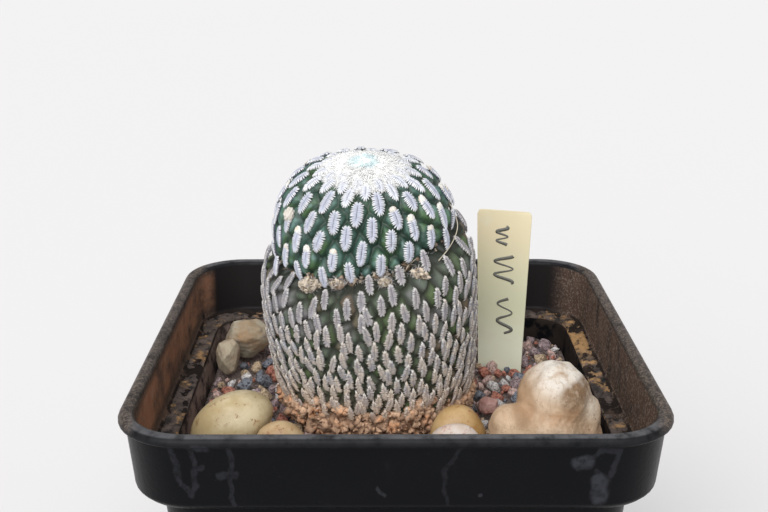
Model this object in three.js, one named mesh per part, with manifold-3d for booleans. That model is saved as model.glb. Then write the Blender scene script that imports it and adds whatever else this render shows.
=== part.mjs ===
// A small comb-spined cactus, Turbinicarpus pseudopectinatus, in a square black plastic pot.
// Millimetres, +Z up. The origin is the middle of the pot's underside, and the front is towards -Y.
//
// The plant stands in a plain hole in the gravel and the soil. It is drawn in its three colours:
// the white felted crown, the green stem with its tubercles and spine combs, and the brown corky
// base with its taproot. Tubercles follow the golden angle, as on the living plant.

import * as THREE from "three";
import { ConvexHull } from "three/addons/math/ConvexHull.js";
import { mergeVertices } from "three/addons/utils/BufferGeometryUtils.js";
import Module from "manifold-3d";

const wasm = await Module();
wasm.setup();

// Driving dimensions of the pot
const POT_HEIGHT = 65;
const RIM_HALF = 35; // half of the pot's outer width at the bead of its rim
const RIM_CORNER = 9; // outline radius of the rim's corners
const BASE_HALF = 25.5; // half of the width at the foot
const BODY_TOP_HALF = 30.4; // half of the width of the tapered body, under the collar
const WALL = 1.1;
const COLLAR_BOTTOM = 54.9; // underside of the wide collar round the top
const LEDGE = 56; // the step inside, where the collar turns in to the body
const LEDGE_HALF = 29.7; // half of the clear width inside that step
const FOOT = 2.2; // height of the floor's underside
const FLOOR_TOP = 3.4;
const CORNER_STEPS = 5;

// Driving dimensions of the filling
const GAP = 0.3; // clearance between pieces that touch
const SOIL_TOP = 49.5;
const GRAVEL_TOP = 52.2; // the flat between the grains
const GRAIN_PITCH = 3.5;
const GRAIN_RADIUS = 1.35;

// Driving dimensions of the plant
const PLANT_X = -2.2; // where the stem's axis meets the gravel
const PLANT_Y = -2;
const LEAN = -0.07; // sideways shift of the axis for each millimetre of height
const STEM_BOTTOM = 58.8;
const SHOULDER = 79; // height at which the dome begins
const CAP_RADIUS = 12.5; // the newest growth, above the pinch
const DOME_RISE = 13.15;
const DOME_POWER = 2.6; // the dome's outline is a superellipse
const FORWARD = 4.5; // the growing point lies this far forward of the dome's top
const CROWN_REACH = 5.9; // way down the skin from the growing point to the edge of the white crown
const WAIST = 80.8; // mean height of the pinch between two years of growth
const WAIST_DEPTH = 0.7;
const WAIST_HALF = 0.9;
const SWELL = 2.3; // the old growth under the pinch is this much wider
const SWELL_FALL = 2; // how soon below the pinch it reaches its width
const COMB_RISE = 0.95; // height of a comb above the skin
const VALLEY = -0.75; // depth of the creases between the tubercles
const GOLDEN_ANGLE = -THREE.MathUtils.degToRad(137.5077);

const random = seeded(20467);

function seeded(state) {
  return () => {
    state = (state + 0x6d2b79f5) | 0;
    let t = Math.imul(state ^ (state >>> 15), 1 | state);
    t = (t + Math.imul(t ^ (t >>> 7), 61 | t)) ^ t;
    return ((t ^ (t >>> 14)) >>> 0) / 4294967296;
  };
}

const between = (low, high) => low + (high - low) * random();

// Reads a value at x from a short list of [x, value] stations.
function along(stations, x) {
  const last = stations.length - 1;
  if (x <= stations[0][0]) return stations[0][1];
  if (x >= stations[last][0]) return stations[last][1];
  const i = stations.findIndex(([at]) => at > x);
  const [x0, v0] = stations[i - 1];
  const [x1, v1] = stations[i];
  return v0 + ((v1 - v0) * (x - x0)) / (x1 - x0);
}

// A closed solid from geometry whose shared vertices are merged by place alone.
function solid(geometry) {
  const bare = geometry.index ? geometry.toNonIndexed() : geometry.clone();
  bare.deleteAttribute("normal");
  bare.deleteAttribute("uv");
  const merged = mergeVertices(bare, 1e-4);
  return new wasm.Manifold(
    new wasm.Mesh({
      numProp: 3,
      vertProperties: merged.attributes.position.array,
      triVerts: new Uint32Array(merged.index.array),
    }),
  );
}

function geometryOf(manifold) {
  const mesh = manifold.getMesh();
  const geometry = new THREE.BufferGeometry();
  geometry.setAttribute("position", new THREE.BufferAttribute(mesh.vertProperties, 3));
  geometry.setIndex(new THREE.BufferAttribute(mesh.triVerts, 1));
  return geometry;
}

function piece(name, geometry, colour, roughness) {
  const flat = geometry.index ? geometry.toNonIndexed() : geometry;
  flat.computeVertexNormals();
  const material = new THREE.MeshStandardMaterial({ color: colour, roughness, metalness: 0 });
  const mesh = new THREE.Mesh(flat, material);
  mesh.name = name;
  return mesh;
}

// A square of half-width half with rounded corners, anticlockwise.
function roundedSquare(half, radius, z) {
  const points = [];
  for (let corner = 0; corner < 4; corner++) {
    const start = (corner * Math.PI) / 2;
    const sx = corner === 0 || corner === 3 ? 1 : -1;
    const sy = corner < 2 ? 1 : -1;
    for (let i = 0; i <= CORNER_STEPS; i++) {
      const a = start + (i / CORNER_STEPS) * (Math.PI / 2);
      const x = sx * (half - radius) + radius * Math.cos(a);
      const y = sy * (half - radius) + radius * Math.sin(a);
      points.push(new THREE.Vector3(x, y, z));
    }
  }
  return points;
}

// Skins a stack of rings that have the same number of points. Both ends close on their middles.
function loft(rings) {
  const count = rings[0].length;
  const points = rings.flat();
  const middle = (ring) =>
    ring.reduce((sum, p) => sum.add(p), new THREE.Vector3()).divideScalar(count);
  const first = points.push(middle(rings[0])) - 1;
  const last = points.push(middle(rings[rings.length - 1])) - 1;
  const index = [];
  for (let j = 0; j < count; j++) {
    const k = (j + 1) % count;
    index.push(first, k, j);
    for (let i = 0; i < rings.length - 1; i++) {
      const a = i * count + j;
      const b = i * count + k;
      index.push(a, b, b + count, a, b + count, a + count);
    }
    const top = (rings.length - 1) * count;
    index.push(last, top + j, top + k);
  }
  return new THREE.BufferGeometry().setFromPoints(points).setIndex(index);
}

// Pot

const bodyHalf = (z) => BASE_HALF + ((BODY_TOP_HALF - BASE_HALF) * z) / COLLAR_BOTTOM;
const innerHalf = (z) => bodyHalf(z) - WALL;
const innerCorner = (half) => Math.max(3, RIM_CORNER - (RIM_HALF - half) * 0.62);

function pot() {
  const profile = [
    // underside and foot
    [BASE_HALF - 1.5, FOOT],
    [BASE_HALF - 1.5, 0],
    [BASE_HALF - 0.2, 0],
    [bodyHalf(0.6), 0.6],
    // tapered body and the collar that overhangs it
    [bodyHalf(COLLAR_BOTTOM), COLLAR_BOTTOM],
    [RIM_HALF - 2.3, COLLAR_BOTTOM],
    [RIM_HALF - 1.5, COLLAR_BOTTOM + 0.9],
    [RIM_HALF - 0.8, POT_HEIGHT - 1.9],
    // rolled bead
    [RIM_HALF, POT_HEIGHT - 1.6],
    [RIM_HALF, POT_HEIGHT - 0.6],
    [RIM_HALF - 0.5, POT_HEIGHT],
    [RIM_HALF - 1.4, POT_HEIGHT],
    [RIM_HALF - 1.9, POT_HEIGHT - 0.6],
    // inside of the collar, ledge and body
    [RIM_HALF - 2.2, LEDGE + 0.8],
    [RIM_HALF - 2.8, LEDGE],
    [LEDGE_HALF + 0.4, LEDGE],
    [LEDGE_HALF, LEDGE - 0.5],
    [innerHalf(FLOOR_TOP + 1.2), FLOOR_TOP + 1.2],
    [innerHalf(FLOOR_TOP) - 1.2, FLOOR_TOP],
  ];
  const rings = profile.map(([half, z]) => roundedSquare(half, innerCorner(half), z));
  let shape = solid(loft(rings));
  const drain = (radius, x, y) => {
    const hole = new THREE.CylinderGeometry(radius, radius, 8, 12);
    return solid(hole.rotateX(Math.PI / 2).translate(x, y, FOOT));
  };
  shape = shape.subtract(drain(4, 0, 0));
  for (const [sx, sy] of [[1, 1], [-1, 1], [-1, -1], [1, -1]])
    shape = shape.subtract(drain(2.6, sx * 14, sy * 14));
  // A notch through the foot in the middle of each side lets water out.
  for (const [x, y] of [[1, 0], [0, 1], [-1, 0], [0, -1]]) {
    const notch = new THREE.BoxGeometry(x ? 4 : 9, y ? 4 : 9, 2.8);
    shape = shape.subtract(solid(notch.translate(x * BASE_HALF, y * BASE_HALF, 0)));
  }
  return piece("pot", geometryOf(shape), 0x1b1b1e, 0.42);
}

// Plant: the meridian curve, measured by its arc length from the apex

const axisX = (z) => PLANT_X + LEAN * (Math.min(z, SHOULDER) - GRAVEL_TOP);
const sideRadius = (z) =>
  along([[STEM_BOTTOM, 11.4], [62, 11.8], [69, 12.35], [75, CAP_RADIUS]], z);

// Points of the meridian from the apex down to the stem's bottom edge, then in to the axis.
function meridian() {
  const curve = [];
  const DOME_POINTS = 400;
  for (let i = 0; i <= DOME_POINTS; i++) {
    const a = (i / DOME_POINTS) * (Math.PI / 2);
    const r = CAP_RADIUS * Math.pow(Math.sin(a), 2 / DOME_POWER);
    const rise = DOME_RISE * Math.pow(Math.max(Math.cos(a), 0), 2 / DOME_POWER);
    curve.push([r, SHOULDER + rise]);
  }
  for (let z = SHOULDER - 0.25; z > STEM_BOTTOM; z -= 0.25) curve.push([sideRadius(z), z]);
  curve.push([sideRadius(STEM_BOTTOM), STEM_BOTTOM]);
  const table = [];
  let s = 0;
  curve.forEach(([r, z], i) => {
    if (i) s += Math.hypot(r - curve[i - 1][0], z - curve[i - 1][1]);
    table.push({ s, r, z });
  });
  return table;
}

const MERIDIAN = meridian();
const SIDE_LENGTH = MERIDIAN[MERIDIAN.length - 1].s;
const radiusStations = MERIDIAN.map(({ s, r }) => [s, r]);
const heightStations = MERIDIAN.map(({ s, z }) => [s, z]);
const radiusAt = (s) => along(radiusStations, s);
const heightAt = (s) => along(heightStations, s);

// The pinch is higher on the plant's right and back than in front.
const waistHeight = (theta) => WAIST + 2.4 * Math.cos(theta) + 2.5 * Math.sin(theta);

// Extra radius: a groove at the pinch, and the wider old growth under it.
function swell(theta, z) {
  const under = waistHeight(theta) - z;
  const groove = WAIST_DEPTH * Math.exp(-((under / WAIST_HALF) ** 2));
  return SWELL * (1 - Math.exp(-Math.max(under, 0) / SWELL_FALL)) - groove;
}

// The pattern of tubercles starts at the growing point, and evens out down the stem. This turns an
// angle and a way down the pattern into the angle and the way down the meridian.
function patternToSkin(theta, s) {
  const slide = FORWARD * (1 - Math.min(s / SIDE_LENGTH, 1));
  const across = s * Math.cos(theta);
  const back = s * Math.sin(theta) - slide;
  return [Math.atan2(back, across), Math.hypot(across, back)];
}

// The pattern is drawn together in front and spread out behind by this factor.
const patternScale = (theta) => 1 + (FORWARD / SIDE_LENGTH) * Math.sin(theta);

// A point of the stem: angle and way down the pattern, and height above the smooth skin.
function skinPoint(theta, s, lift) {
  const [angle, way] = patternToSkin(theta, s);
  const r = radiusAt(way);
  const z = heightAt(way);
  const step = 0.2;
  const dr = radiusAt(way + step) - radiusAt(way - step);
  const dz = heightAt(way + step) - heightAt(way - step);
  const size = Math.hypot(dr, dz) || 1;
  const radius = Math.max(r + (-dz / size) * lift + swell(angle, z), 0);
  const height = z + (dr / size) * lift;
  return new THREE.Vector3(
    axisX(height) + radius * Math.cos(angle),
    PLANT_Y + radius * Math.sin(angle),
    height,
  );
}

// Drops a point onto the flat between the stem and the crown, which slopes down to the front.
function crownFlat(point, lift = 0) {
  const front = skinPoint(-Math.PI / 2, CROWN_REACH, 0);
  const back = skinPoint(Math.PI / 2, CROWN_REACH, 0);
  const share = (point.y - front.y) / (back.y - front.y);
  return point.setZ(front.z + (back.z - front.z) * share - 0.1 + lift);
}

// Skin area of one tubercle, in square millimetres: tiny at the crown, widest on the dome,
// and crowded together in the old growth near the ground.
const cellArea = (s) =>
  along([[0, 1.2], [4.5, 3], [7, 8.5], [10, 12.5], [20, 12], [26, 8], [33, 6.4], [40, 5.4]], s);

function areoles() {
  const list = [];
  const step = 0.02;
  let count = 0;
  let next = 1;
  for (let s = step / 2; s < SIDE_LENGTH; s += step) {
    count += (2 * Math.PI * radiusAt(s) * step) / cellArea(s);
    while (count >= next) {
      list.push({ theta: next * GOLDEN_ANGLE, s });
      next += 1;
    }
  }
  return list;
}

const AREOLES = areoles();

// Skins a cloud of points on a rounded body: the hull of their directions joins near neighbours.
function skinOver(cloud) {
  const places = new Map();
  const directions = cloud.map(({ direction, place }) => {
    places.set(direction, place);
    return direction;
  });
  const hull = new ConvexHull().setFromPoints(directions);
  const index = new Map();
  const points = [];
  const faces = [];
  const indexOf = (direction) => {
    if (!index.has(direction)) index.set(direction, points.push(places.get(direction)) - 1);
    return index.get(direction);
  };
  for (const face of hull.faces) {
    let edge = face.edge;
    do {
      faces.push(indexOf(edge.head().point));
      edge = edge.next;
    } while (edge !== face.edge);
  }
  return new THREE.BufferGeometry().setFromPoints(points).setIndex(faces);
}

// Where a point of the stem goes on the sphere that skinOver joins points on.
function direction(theta, s, total) {
  const polar = Math.PI * Math.min(s / total, 1);
  return new THREE.Vector3(
    Math.sin(polar) * Math.cos(theta),
    Math.sin(polar) * Math.sin(theta),
    Math.cos(polar),
  );
}

const combLength = (s) => along([[2, 1.6], [6, 2.6], [9, 3.6], [20, 3.5], [28, 2.9], [36, 2.6]], s);
const combWidth = (s) => along([[2, 0.9], [6, 1.2], [9.5, 1.9], [13, 1.8], [20, 1.4], [36, 1.15]], s);

// One spine comb: an oblong with a raised keel and a waved edge, corners round it. Its foot is a
// second ring, tucked in below the edge so that the comb stands up clear of the skin. In the net
// that joins the points, the foot still lies outside the edge.
const FOOT_TUCK = 0.86;
const FOOT_SPREAD = 0.14;
const FOOT_LIFT = -0.3;

function combPoints(areole, corners) {
  const scale = patternScale(areole.theta);
  const halfLength = combLength(areole.s) / 2 / scale;
  const halfWidth = combWidth(areole.s) / 2 / scale;
  const turn = between(-0.12, 0.12);
  const place = (x, y) => {
    const a = x * Math.cos(turn) - y * Math.sin(turn);
    const b = y * Math.cos(turn) + x * Math.sin(turn);
    return [areole.theta + a / radiusAt(areole.s), areole.s + b];
  };
  const points = [];
  for (let i = 0; i < corners; i++) {
    const a = (i / corners) * 2 * Math.PI;
    const wave = corners > 6 && i % 2 === 0 ? 0.8 : 1.1;
    const x = halfWidth * Math.sin(a) * wave;
    const y = -halfLength * Math.cos(a);
    const end = i === 0 ? 0.6 : 0.45;
    points.push({ at: place(x, y), map: place(x, y), lift: end * COMB_RISE });
    const away = 1 + FOOT_SPREAD / Math.hypot(x, y);
    const map = place(x * away, y * away);
    points.push({ at: place(x * FOOT_TUCK, y * FOOT_TUCK), map, lift: FOOT_LIFT });
  }
  const keel = corners > 4 ? [-0.4, 0.45] : [-0.15];
  for (const down of keel) {
    const at = place(0, down * halfLength);
    points.push({ at, map: at, lift: COMB_RISE });
  }
  return points;
}

// Creases lie half-way to the nearest neighbours further down, which are a Fibonacci number on.
function creasePoints(list, k, count) {
  const near = [];
  for (const m of [5, 8, 13, 21, 34, 55]) {
    const other = list[k + m];
    if (!other) continue;
    const here = list[k];
    const turn = Math.atan2(
      Math.sin(other.theta - here.theta),
      Math.cos(other.theta - here.theta),
    );
    const down = other.s - here.s;
    near.push({ away: Math.hypot(turn * radiusAt(here.s), down * 0.6), turn, down });
  }
  near.sort((a, b) => a.away - b.away);
  return near
    .slice(0, count)
    .map(({ turn, down }) => [list[k].theta + turn / 2, list[k].s + down / 2]);
}

function stem(hollows) {
  const total = SIDE_LENGTH + radiusAt(SIDE_LENGTH);
  const rimRing = 44;
  const cloud = [];
  const put = (at, lift, map = at) => {
    const [theta, s] = map;
    if (s < CROWN_REACH + 0.25 || s > SIDE_LENGTH - 0.4) return;
    cloud.push({ direction: direction(theta, s, total), place: skinPoint(...at, lift) });
  };
  AREOLES.forEach((areole, k) => {
    const half = combLength(areole.s) / 2;
    const clear = areole.s - half > CROWN_REACH + 0.3 && areole.s + half < SIDE_LENGTH;
    if (clear && !flowerNear(areole)) {
      const corners = areole.s < 24 ? 8 : areole.s < 29 ? 6 : 4;
      combPoints(areole, corners).forEach(({ at, lift, map }) => put(at, lift, map));
    }
    if (areole.s > CROWN_REACH) creasePoints(AREOLES, k, 2).forEach((at) => put(at, VALLEY));
  });
  // The flats at both ends: a ring at each edge and a point in the middle.
  for (let i = 0; i < rimRing; i++) {
    const theta = ((i + 0.5) / rimRing) * 2 * Math.PI;
    const top = crownFlat(skinPoint(theta, CROWN_REACH, 0));
    const bottom = skinPoint(theta, SIDE_LENGTH, 0).setZ(STEM_BOTTOM);
    cloud.push({ direction: direction(theta, CROWN_REACH, total), place: top });
    cloud.push({ direction: direction(theta, SIDE_LENGTH, total), place: bottom });
  }
  const middle = new THREE.Vector3(axisX(STEM_BOTTOM), PLANT_Y, STEM_BOTTOM);
  cloud.push({ direction: direction(0, 0, total), place: crownFlat(skinPoint(0, 0, 0)) });
  cloud.push({ direction: direction(0, total, total), place: middle });
  let shape = solid(skinOver(cloud));
  for (const hollow of hollows) shape = shape.subtract(hollow);
  return piece("stem_with_spine_combs", geometryOf(shape), 0x3f6a47, 0.6);
}

// White felt and the crowded young combs, which lie like rays round the growing point.
function crown() {
  const total = CROWN_REACH * 2;
  const cloud = [];
  const put = ([theta, s], lift) => {
    const inner = Math.min(Math.max(s, 0.1), CROWN_REACH - 0.5);
    const place = skinPoint(theta, inner, 0);
    const floor = crownFlat(place.clone(), GAP + 0.15).z;
    place.z = Math.max(place.z, floor) + lift;
    cloud.push({ direction: direction(theta, inner, total), place });
  };
  const young = AREOLES.filter(({ s }) => s < CROWN_REACH - 0.4);
  for (const areole of young) {
    const tall = along([[0, 0.35], [4, 0.75], [CROWN_REACH, 0.6]], areole.s);
    for (const { at, lift } of combPoints(areole, 4))
      if (lift > 0) put(at, (tall * lift) / COMB_RISE);
    const [crease] = creasePoints(AREOLES, AREOLES.indexOf(areole), 1);
    put(crease, -0.1);
  }
  const edge = 34;
  for (let i = 0; i < edge; i++) {
    const theta = ((i + 0.5) / edge) * 2 * Math.PI;
    const ragged = i % 2 ? 0.75 : -0.4;
    const place = crownFlat(skinPoint(theta, CROWN_REACH + ragged, 0), GAP);
    cloud.push({ direction: direction(theta, CROWN_REACH - 0.1, total), place });
  }
  cloud.push({ direction: direction(0, total, total), place: crownFlat(skinPoint(0, 0, 0), GAP) });
  return piece("white_crown", geometryOf(solid(skinOver(cloud))), 0xeef3f4, 0.9);
}

// Brown corky base with the taproot under it. lumps is how far its surface is drawn in and out,
// and grow is extra radius all round, for the plain hole that it stands in.
function baseShape(lumps, grow) {
  const around = 44;
  const stations = [
    [34, 1.2],
    [38, 3.2],
    [44, 6],
    [48, 8],
    [50, 9.4],
    [51.6, 9.8],
    [52.9, 10.3],
    [54, 11.9],
    [55.2, 13.1],
    [56.4, 13.8],
    [57.5, 14.1],
    [STEM_BOTTOM - GAP, 13.6],
  ];
  const rings = stations.map(([z, radius], i) => {
    const lumpy = z > 51 && i < stations.length - 1 ? lumps : 0;
    const low = i === 0 ? grow : 0;
    const ring = [];
    for (let j = 0; j < around; j++) {
      const theta = ((j + (i % 2) / 2) / around) * 2 * Math.PI;
      const r = radius + grow * 1.2 + lumpy * between(-1, 0.6);
      const x = axisX(z) + r * Math.cos(theta);
      ring.push(new THREE.Vector3(x, PLANT_Y + r * Math.sin(theta), z - low));
    }
    return ring;
  });
  return loft(rings);
}

const corkyBase = () => piece("corky_base_and_root", baseShape(0.55, 0), 0x9a7350, 0.95);

// Withered flower remains

// Angle and size of each, and how far below the pinch it hangs
const FLOWERS = [
  { name: "dried_flower_left", theta: -2.16, size: 1.45, below: 0.4 },
  { name: "dried_flower_middle_left", theta: -1.85, size: 0.95, below: 0 },
  { name: "dried_flower_middle", theta: -1.37, size: 0.9, below: 0.8 },
  { name: "dried_flower_right", theta: -1.0, size: 1.35, below: 1.5 },
];

// A ball of radius 1 with an even net of triangles.
function sphereMesh(detail) {
  const ball = new THREE.IcosahedronGeometry(1, detail);
  ball.deleteAttribute("normal");
  ball.deleteAttribute("uv");
  return mergeVertices(ball, 1e-4);
}

// A crumpled lump: a ball with its points drawn in and out. swell is extra size all over.
function crumple(size, detail, rough, swell, stretch) {
  const geometry = sphereMesh(detail);
  const place = geometry.attributes.position;
  const draw = seeded(Math.round(size * 1000));
  for (let i = 0; i < place.count; i++) {
    const r = size * (1 + rough * (draw() * 2 - 1)) + swell;
    place.setXYZ(
      i,
      place.getX(i) * r * stretch[0],
      place.getY(i) * r * stretch[1],
      place.getZ(i) * r * stretch[2],
    );
  }
  return geometry;
}

// Middle of a withered flower, which is half sunk in the pinch.
function flowerMiddle({ theta, below }) {
  const z = waistHeight(theta) - below;
  const radius = CAP_RADIUS + 0.9;
  const x = axisX(z) + radius * Math.cos(theta);
  return new THREE.Vector3(x, PLANT_Y + radius * Math.sin(theta), z);
}

const flowerNear = ({ theta, s }) =>
  FLOWERS.some((flower) => flowerMiddle(flower).distanceTo(skinPoint(theta, s, 0)) < flower.size + 1.3);

const flowerAt = (flower, swell) =>
  crumple(flower.size, 1, 0.22, swell, [1, 0.8, 1]).translate(...flowerMiddle(flower));

const driedFlower = (flower) => piece(flower.name, flowerAt(flower, 0), 0xb08a62, 0.95);

// Stones: place and half-sizes of each, with lobes for the knobby one

const STONE_FLOOR = GRAVEL_TOP + GAP;
const STONES = [
  { name: "cream_pebble_large", x: -22.6, y: -14.6, half: [6, 4.7, 4.3], colour: 0xd9cba0, tilt: 0.55 },
  { name: "cream_pebble_small", x: -15.1, y: -19.9, half: [3.6, 2.8, 3.9], colour: 0xd8bd86 },
  { name: "yellow_pebble", x: 8.5, y: -18.6, half: [3.8, 3.1, 4.7], colour: 0xdcb56f },
  { name: "pale_pebble", x: 7.6, y: -25, half: [3.9, 2.7, 4.9], colour: 0xdfc8ad },
  { name: "pink_pebble", x: 14.3, y: -2, half: [1.6, 1.5, 1.4], colour: 0xb98878 },
  { name: "back_stone_pale", x: -24.2, y: 20.4, half: [3.7, 3.3, 3.3], colour: 0xa8a791 },
  { name: "back_stone_orange", x: -16.6, y: 24.6, half: [3.3, 2.8, 3.4], colour: 0xb57f4a },
  { name: "back_stone_tan", x: -26.6, y: 13.4, half: [1.9, 2.6, 2.9], colour: 0xb09a7c },
];

function pebble({ name, x, y, half, colour, tilt = 0 }) {
  const geometry = crumple(1, half[0] > 3 ? 2 : 1, 0.035, 0, half);
  geometry.rotateY(-tilt).computeBoundingBox();
  geometry.translate(x, y, STONE_FLOOR - geometry.boundingBox.min.z);
  return piece(name, geometry, colour, 0.7);
}

// Rounded lobes that run into one another: x, y, z and radius of each.
const LOBES = [
  [21.2, -18, 62.9, 4.85],
  [15, -21.2, 60.5, 2.6],
  [15.7, -21.6, 56.6, 3.6],
  [25.3, -18.6, 60.8, 2.2],
  [24.4, -19, 56.8, 3.6],
  [20.3, -20.4, 57.8, 4.7],
];

// Below zero inside the stone. Each lobe's surface swells where it is close to another.
function stoneField(x, y, z) {
  const blend = 0.6;
  const sum = LOBES.reduce(
    (total, [cx, cy, cz, r]) => total + Math.exp((r - Math.hypot(x - cx, y - cy, z - cz)) / blend),
    0,
  );
  return -blend * Math.log(sum);
}

function knobbyStone() {
  const middle = new THREE.Vector3(20, -19.4, 59.4);
  const geometry = sphereMesh(4);
  const place = geometry.attributes.position;
  const way = new THREE.Vector3();
  for (let i = 0; i < place.count; i++) {
    way.fromBufferAttribute(place, i);
    let inside = 1;
    let outside = 14;
    for (let step = 0; step < 24; step++) {
      const r = (inside + outside) / 2;
      const field = stoneField(middle.x + way.x * r, middle.y + way.y * r, middle.z + way.z * r);
      if (field < 0) inside = r;
      else outside = r;
    }
    way.multiplyScalar(inside).add(middle);
    place.setXYZ(i, way.x, way.y, Math.max(way.z, STONE_FLOOR));
  }
  return piece("knobby_stone", geometry, 0xd6bf9b, 0.75);
}

// Plant label: a tapered tag with a pointed foot, its right side turned a little to the front

const LABEL = { x: 17.75, y: 16.4, top: 79.1, half: 4.35, foot: 34, thick: 0.6, turn: -0.28 };
const LABEL_TAPER = 0.78; // share of the width that is left 12 mm above the foot

function labelShape(grow) {
  const { half, top, foot, thick, turn } = LABEL;
  const height = top - foot;
  const outline = new THREE.Shape([
    new THREE.Vector2(-half - grow, height + grow),
    new THREE.Vector2(-half * LABEL_TAPER - grow, 12),
    new THREE.Vector2(-0.6 - grow, -grow),
    new THREE.Vector2(0.6 + grow, -grow),
    new THREE.Vector2(half * LABEL_TAPER + grow, 12),
    new THREE.Vector2(half + grow, height + grow),
  ]);
  const depth = thick + grow * 2;
  return new THREE.ExtrudeGeometry(outline, { depth, bevelEnabled: false })
    .translate(0, 0, -depth / 2)
    .rotateX(Math.PI / 2)
    .rotateZ(turn)
    .translate(LABEL.x, LABEL.y, foot);
}

const label = () => piece("plant_label", labelShape(0), 0xe3d9a6, 0.5);

// Filling of the pot

function potting() {
  const low = FLOOR_TOP + GAP;
  const bottom = [0.9, 1.4].map((up, i) => {
    const half = innerHalf(low + up) - GAP - (i ? 0 : 1.2);
    return roundedSquare(half, innerCorner(half), i ? low + up : low);
  });
  const topHalf = innerHalf(SOIL_TOP) - GAP;
  const rings = [...bottom, roundedSquare(topHalf, innerCorner(topHalf), SOIL_TOP)];
  const shape = solid(loft(rings))
    .subtract(solid(baseShape(0, GAP)))
    .subtract(solid(labelShape(GAP)));
  return piece("potting_soil", geometryOf(shape), 0x4a3a2e, 1);
}

// True where a grain of this radius would meet a stone, the plant or the label.
function occupied(x, y, radius) {
  if (Math.hypot(x - PLANT_X, y - PLANT_Y) < 12.2 + radius) return true;
  if (Math.abs(x - LABEL.x) < 5 + radius && Math.abs(y - LABEL.y) < 2.2 + radius) return true;
  if (stoneField(x, y, GRAVEL_TOP + 1) < radius + GAP) return true;
  return STONES.some((stone) => {
    const reach = radius + GAP + 0.2;
    const dx = (x - stone.x) / (stone.half[0] + reach);
    const dy = (y - stone.y) / (stone.half[1] + reach);
    return dx * dx + dy * dy < 1;
  });
}

// A flat bed with angular grains sunk into it, all one solid.
function gravel() {
  const half = (z) => innerHalf(z) - GAP;
  const low = SOIL_TOP + GAP;
  const bed = [low, GRAVEL_TOP].map((z) => roundedSquare(half(z), innerCorner(half(z)), z));
  let shape = solid(loft(bed)).subtract(solid(baseShape(0, GAP * 2)));
  const grains = [];
  const edge = half(GRAVEL_TOP) - 0.4;
  const rows = Math.ceil((2 * edge) / GRAIN_PITCH);
  for (let i = 0; i <= rows; i++) {
    for (let j = 0; j <= rows; j++) {
      const radius = GRAIN_RADIUS * between(0.75, 1.2);
      const inside = edge - radius;
      const shift = i % 2 ? GRAIN_PITCH / 2 : 0;
      const x = -edge + j * GRAIN_PITCH + shift + between(-0.7, 0.7);
      const y = -edge + i * GRAIN_PITCH + between(-0.7, 0.7);
      const corner = Math.hypot(Math.max(Math.abs(x) - 24, 0), Math.max(Math.abs(y) - 24, 0));
      if (Math.abs(x) > inside || Math.abs(y) > inside || corner > 4.6 - radius) continue;
      if (occupied(x, y, radius * 1.15)) continue;
      const grain = new THREE.OctahedronGeometry(1, 0);
      grain.scale(radius * between(0.85, 1.15), radius * between(0.85, 1.15), radius * 0.95);
      grain.rotateX(between(-0.6, 0.6)).rotateZ(between(0, Math.PI));
      grains.push(solid(grain.translate(x, y, GRAVEL_TOP + between(-0.35, 0.1))));
    }
  }
  shape = wasm.Manifold.union([shape, ...grains]).subtract(solid(labelShape(GAP)));
  const base = shape.decompose().sort((a, b) => b.volume() - a.volume())[0];
  return piece("top_gravel", geometryOf(base), 0x8a7670, 0.95);
}

const plant = new THREE.Group();
plant.add(
  corkyBase(),
  stem(FLOWERS.map((flower) => solid(flowerAt(flower, GAP)))),
  crown(),
  ...FLOWERS.map(driedFlower),
);

const pottedCactus = new THREE.Group();
pottedCactus.add(pot(), potting(), gravel(), plant, label(), knobbyStone(), ...STONES.map(pebble));

export default pottedCactus;
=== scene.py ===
"""A potted comb-spined cactus in its finished materials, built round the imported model.

Lengths are in millimetres until a mesh is made. The front of the pot is towards -Y.
"""

import math
from functools import reduce

import bmesh
import bpy
import numpy as np
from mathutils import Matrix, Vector


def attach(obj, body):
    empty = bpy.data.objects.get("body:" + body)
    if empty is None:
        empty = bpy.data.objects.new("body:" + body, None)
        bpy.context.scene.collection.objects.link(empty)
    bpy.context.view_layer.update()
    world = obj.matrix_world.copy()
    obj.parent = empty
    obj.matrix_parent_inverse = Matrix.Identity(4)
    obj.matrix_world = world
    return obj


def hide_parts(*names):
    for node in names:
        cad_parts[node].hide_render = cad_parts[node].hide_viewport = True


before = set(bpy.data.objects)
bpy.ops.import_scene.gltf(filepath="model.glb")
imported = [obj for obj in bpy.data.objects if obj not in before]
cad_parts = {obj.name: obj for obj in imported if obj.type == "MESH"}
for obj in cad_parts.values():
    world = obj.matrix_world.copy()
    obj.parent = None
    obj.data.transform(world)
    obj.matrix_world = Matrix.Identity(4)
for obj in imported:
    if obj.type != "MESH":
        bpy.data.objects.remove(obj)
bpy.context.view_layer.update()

MM = 0.001
ANY_TURN = 6.28  # the end of the range of a random angle
rng = np.random.default_rng(2467)

# Pot
POT_HEIGHT = 65.3
RIM_HALF = 35.0
RIM_CORNER = 9.0
BASE_HALF = 25.5
BODY_TOP_HALF = 30.4
WALL = 1.1
COLLAR_BOTTOM = 54.5
LEDGE = 56.0
LEDGE_HALF = 29.7
CRUST_LEVEL = 0.35  # higher covers more of the ledge
CRUST_OUTER = 32.35
CRUST_INNER = 29.85
FOOT = 2.2
FLOOR_TOP = 3.4
CORNER_STEPS = 10
DRAIN_MIDDLE = 4
DRAIN_OUTER = 2.6
DRAIN_SPREAD = 14

# Filling
GAP = 0.3
GRAVEL_TOP = 52.2
STONE_FLOOR = GRAVEL_TOP + GAP

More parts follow.
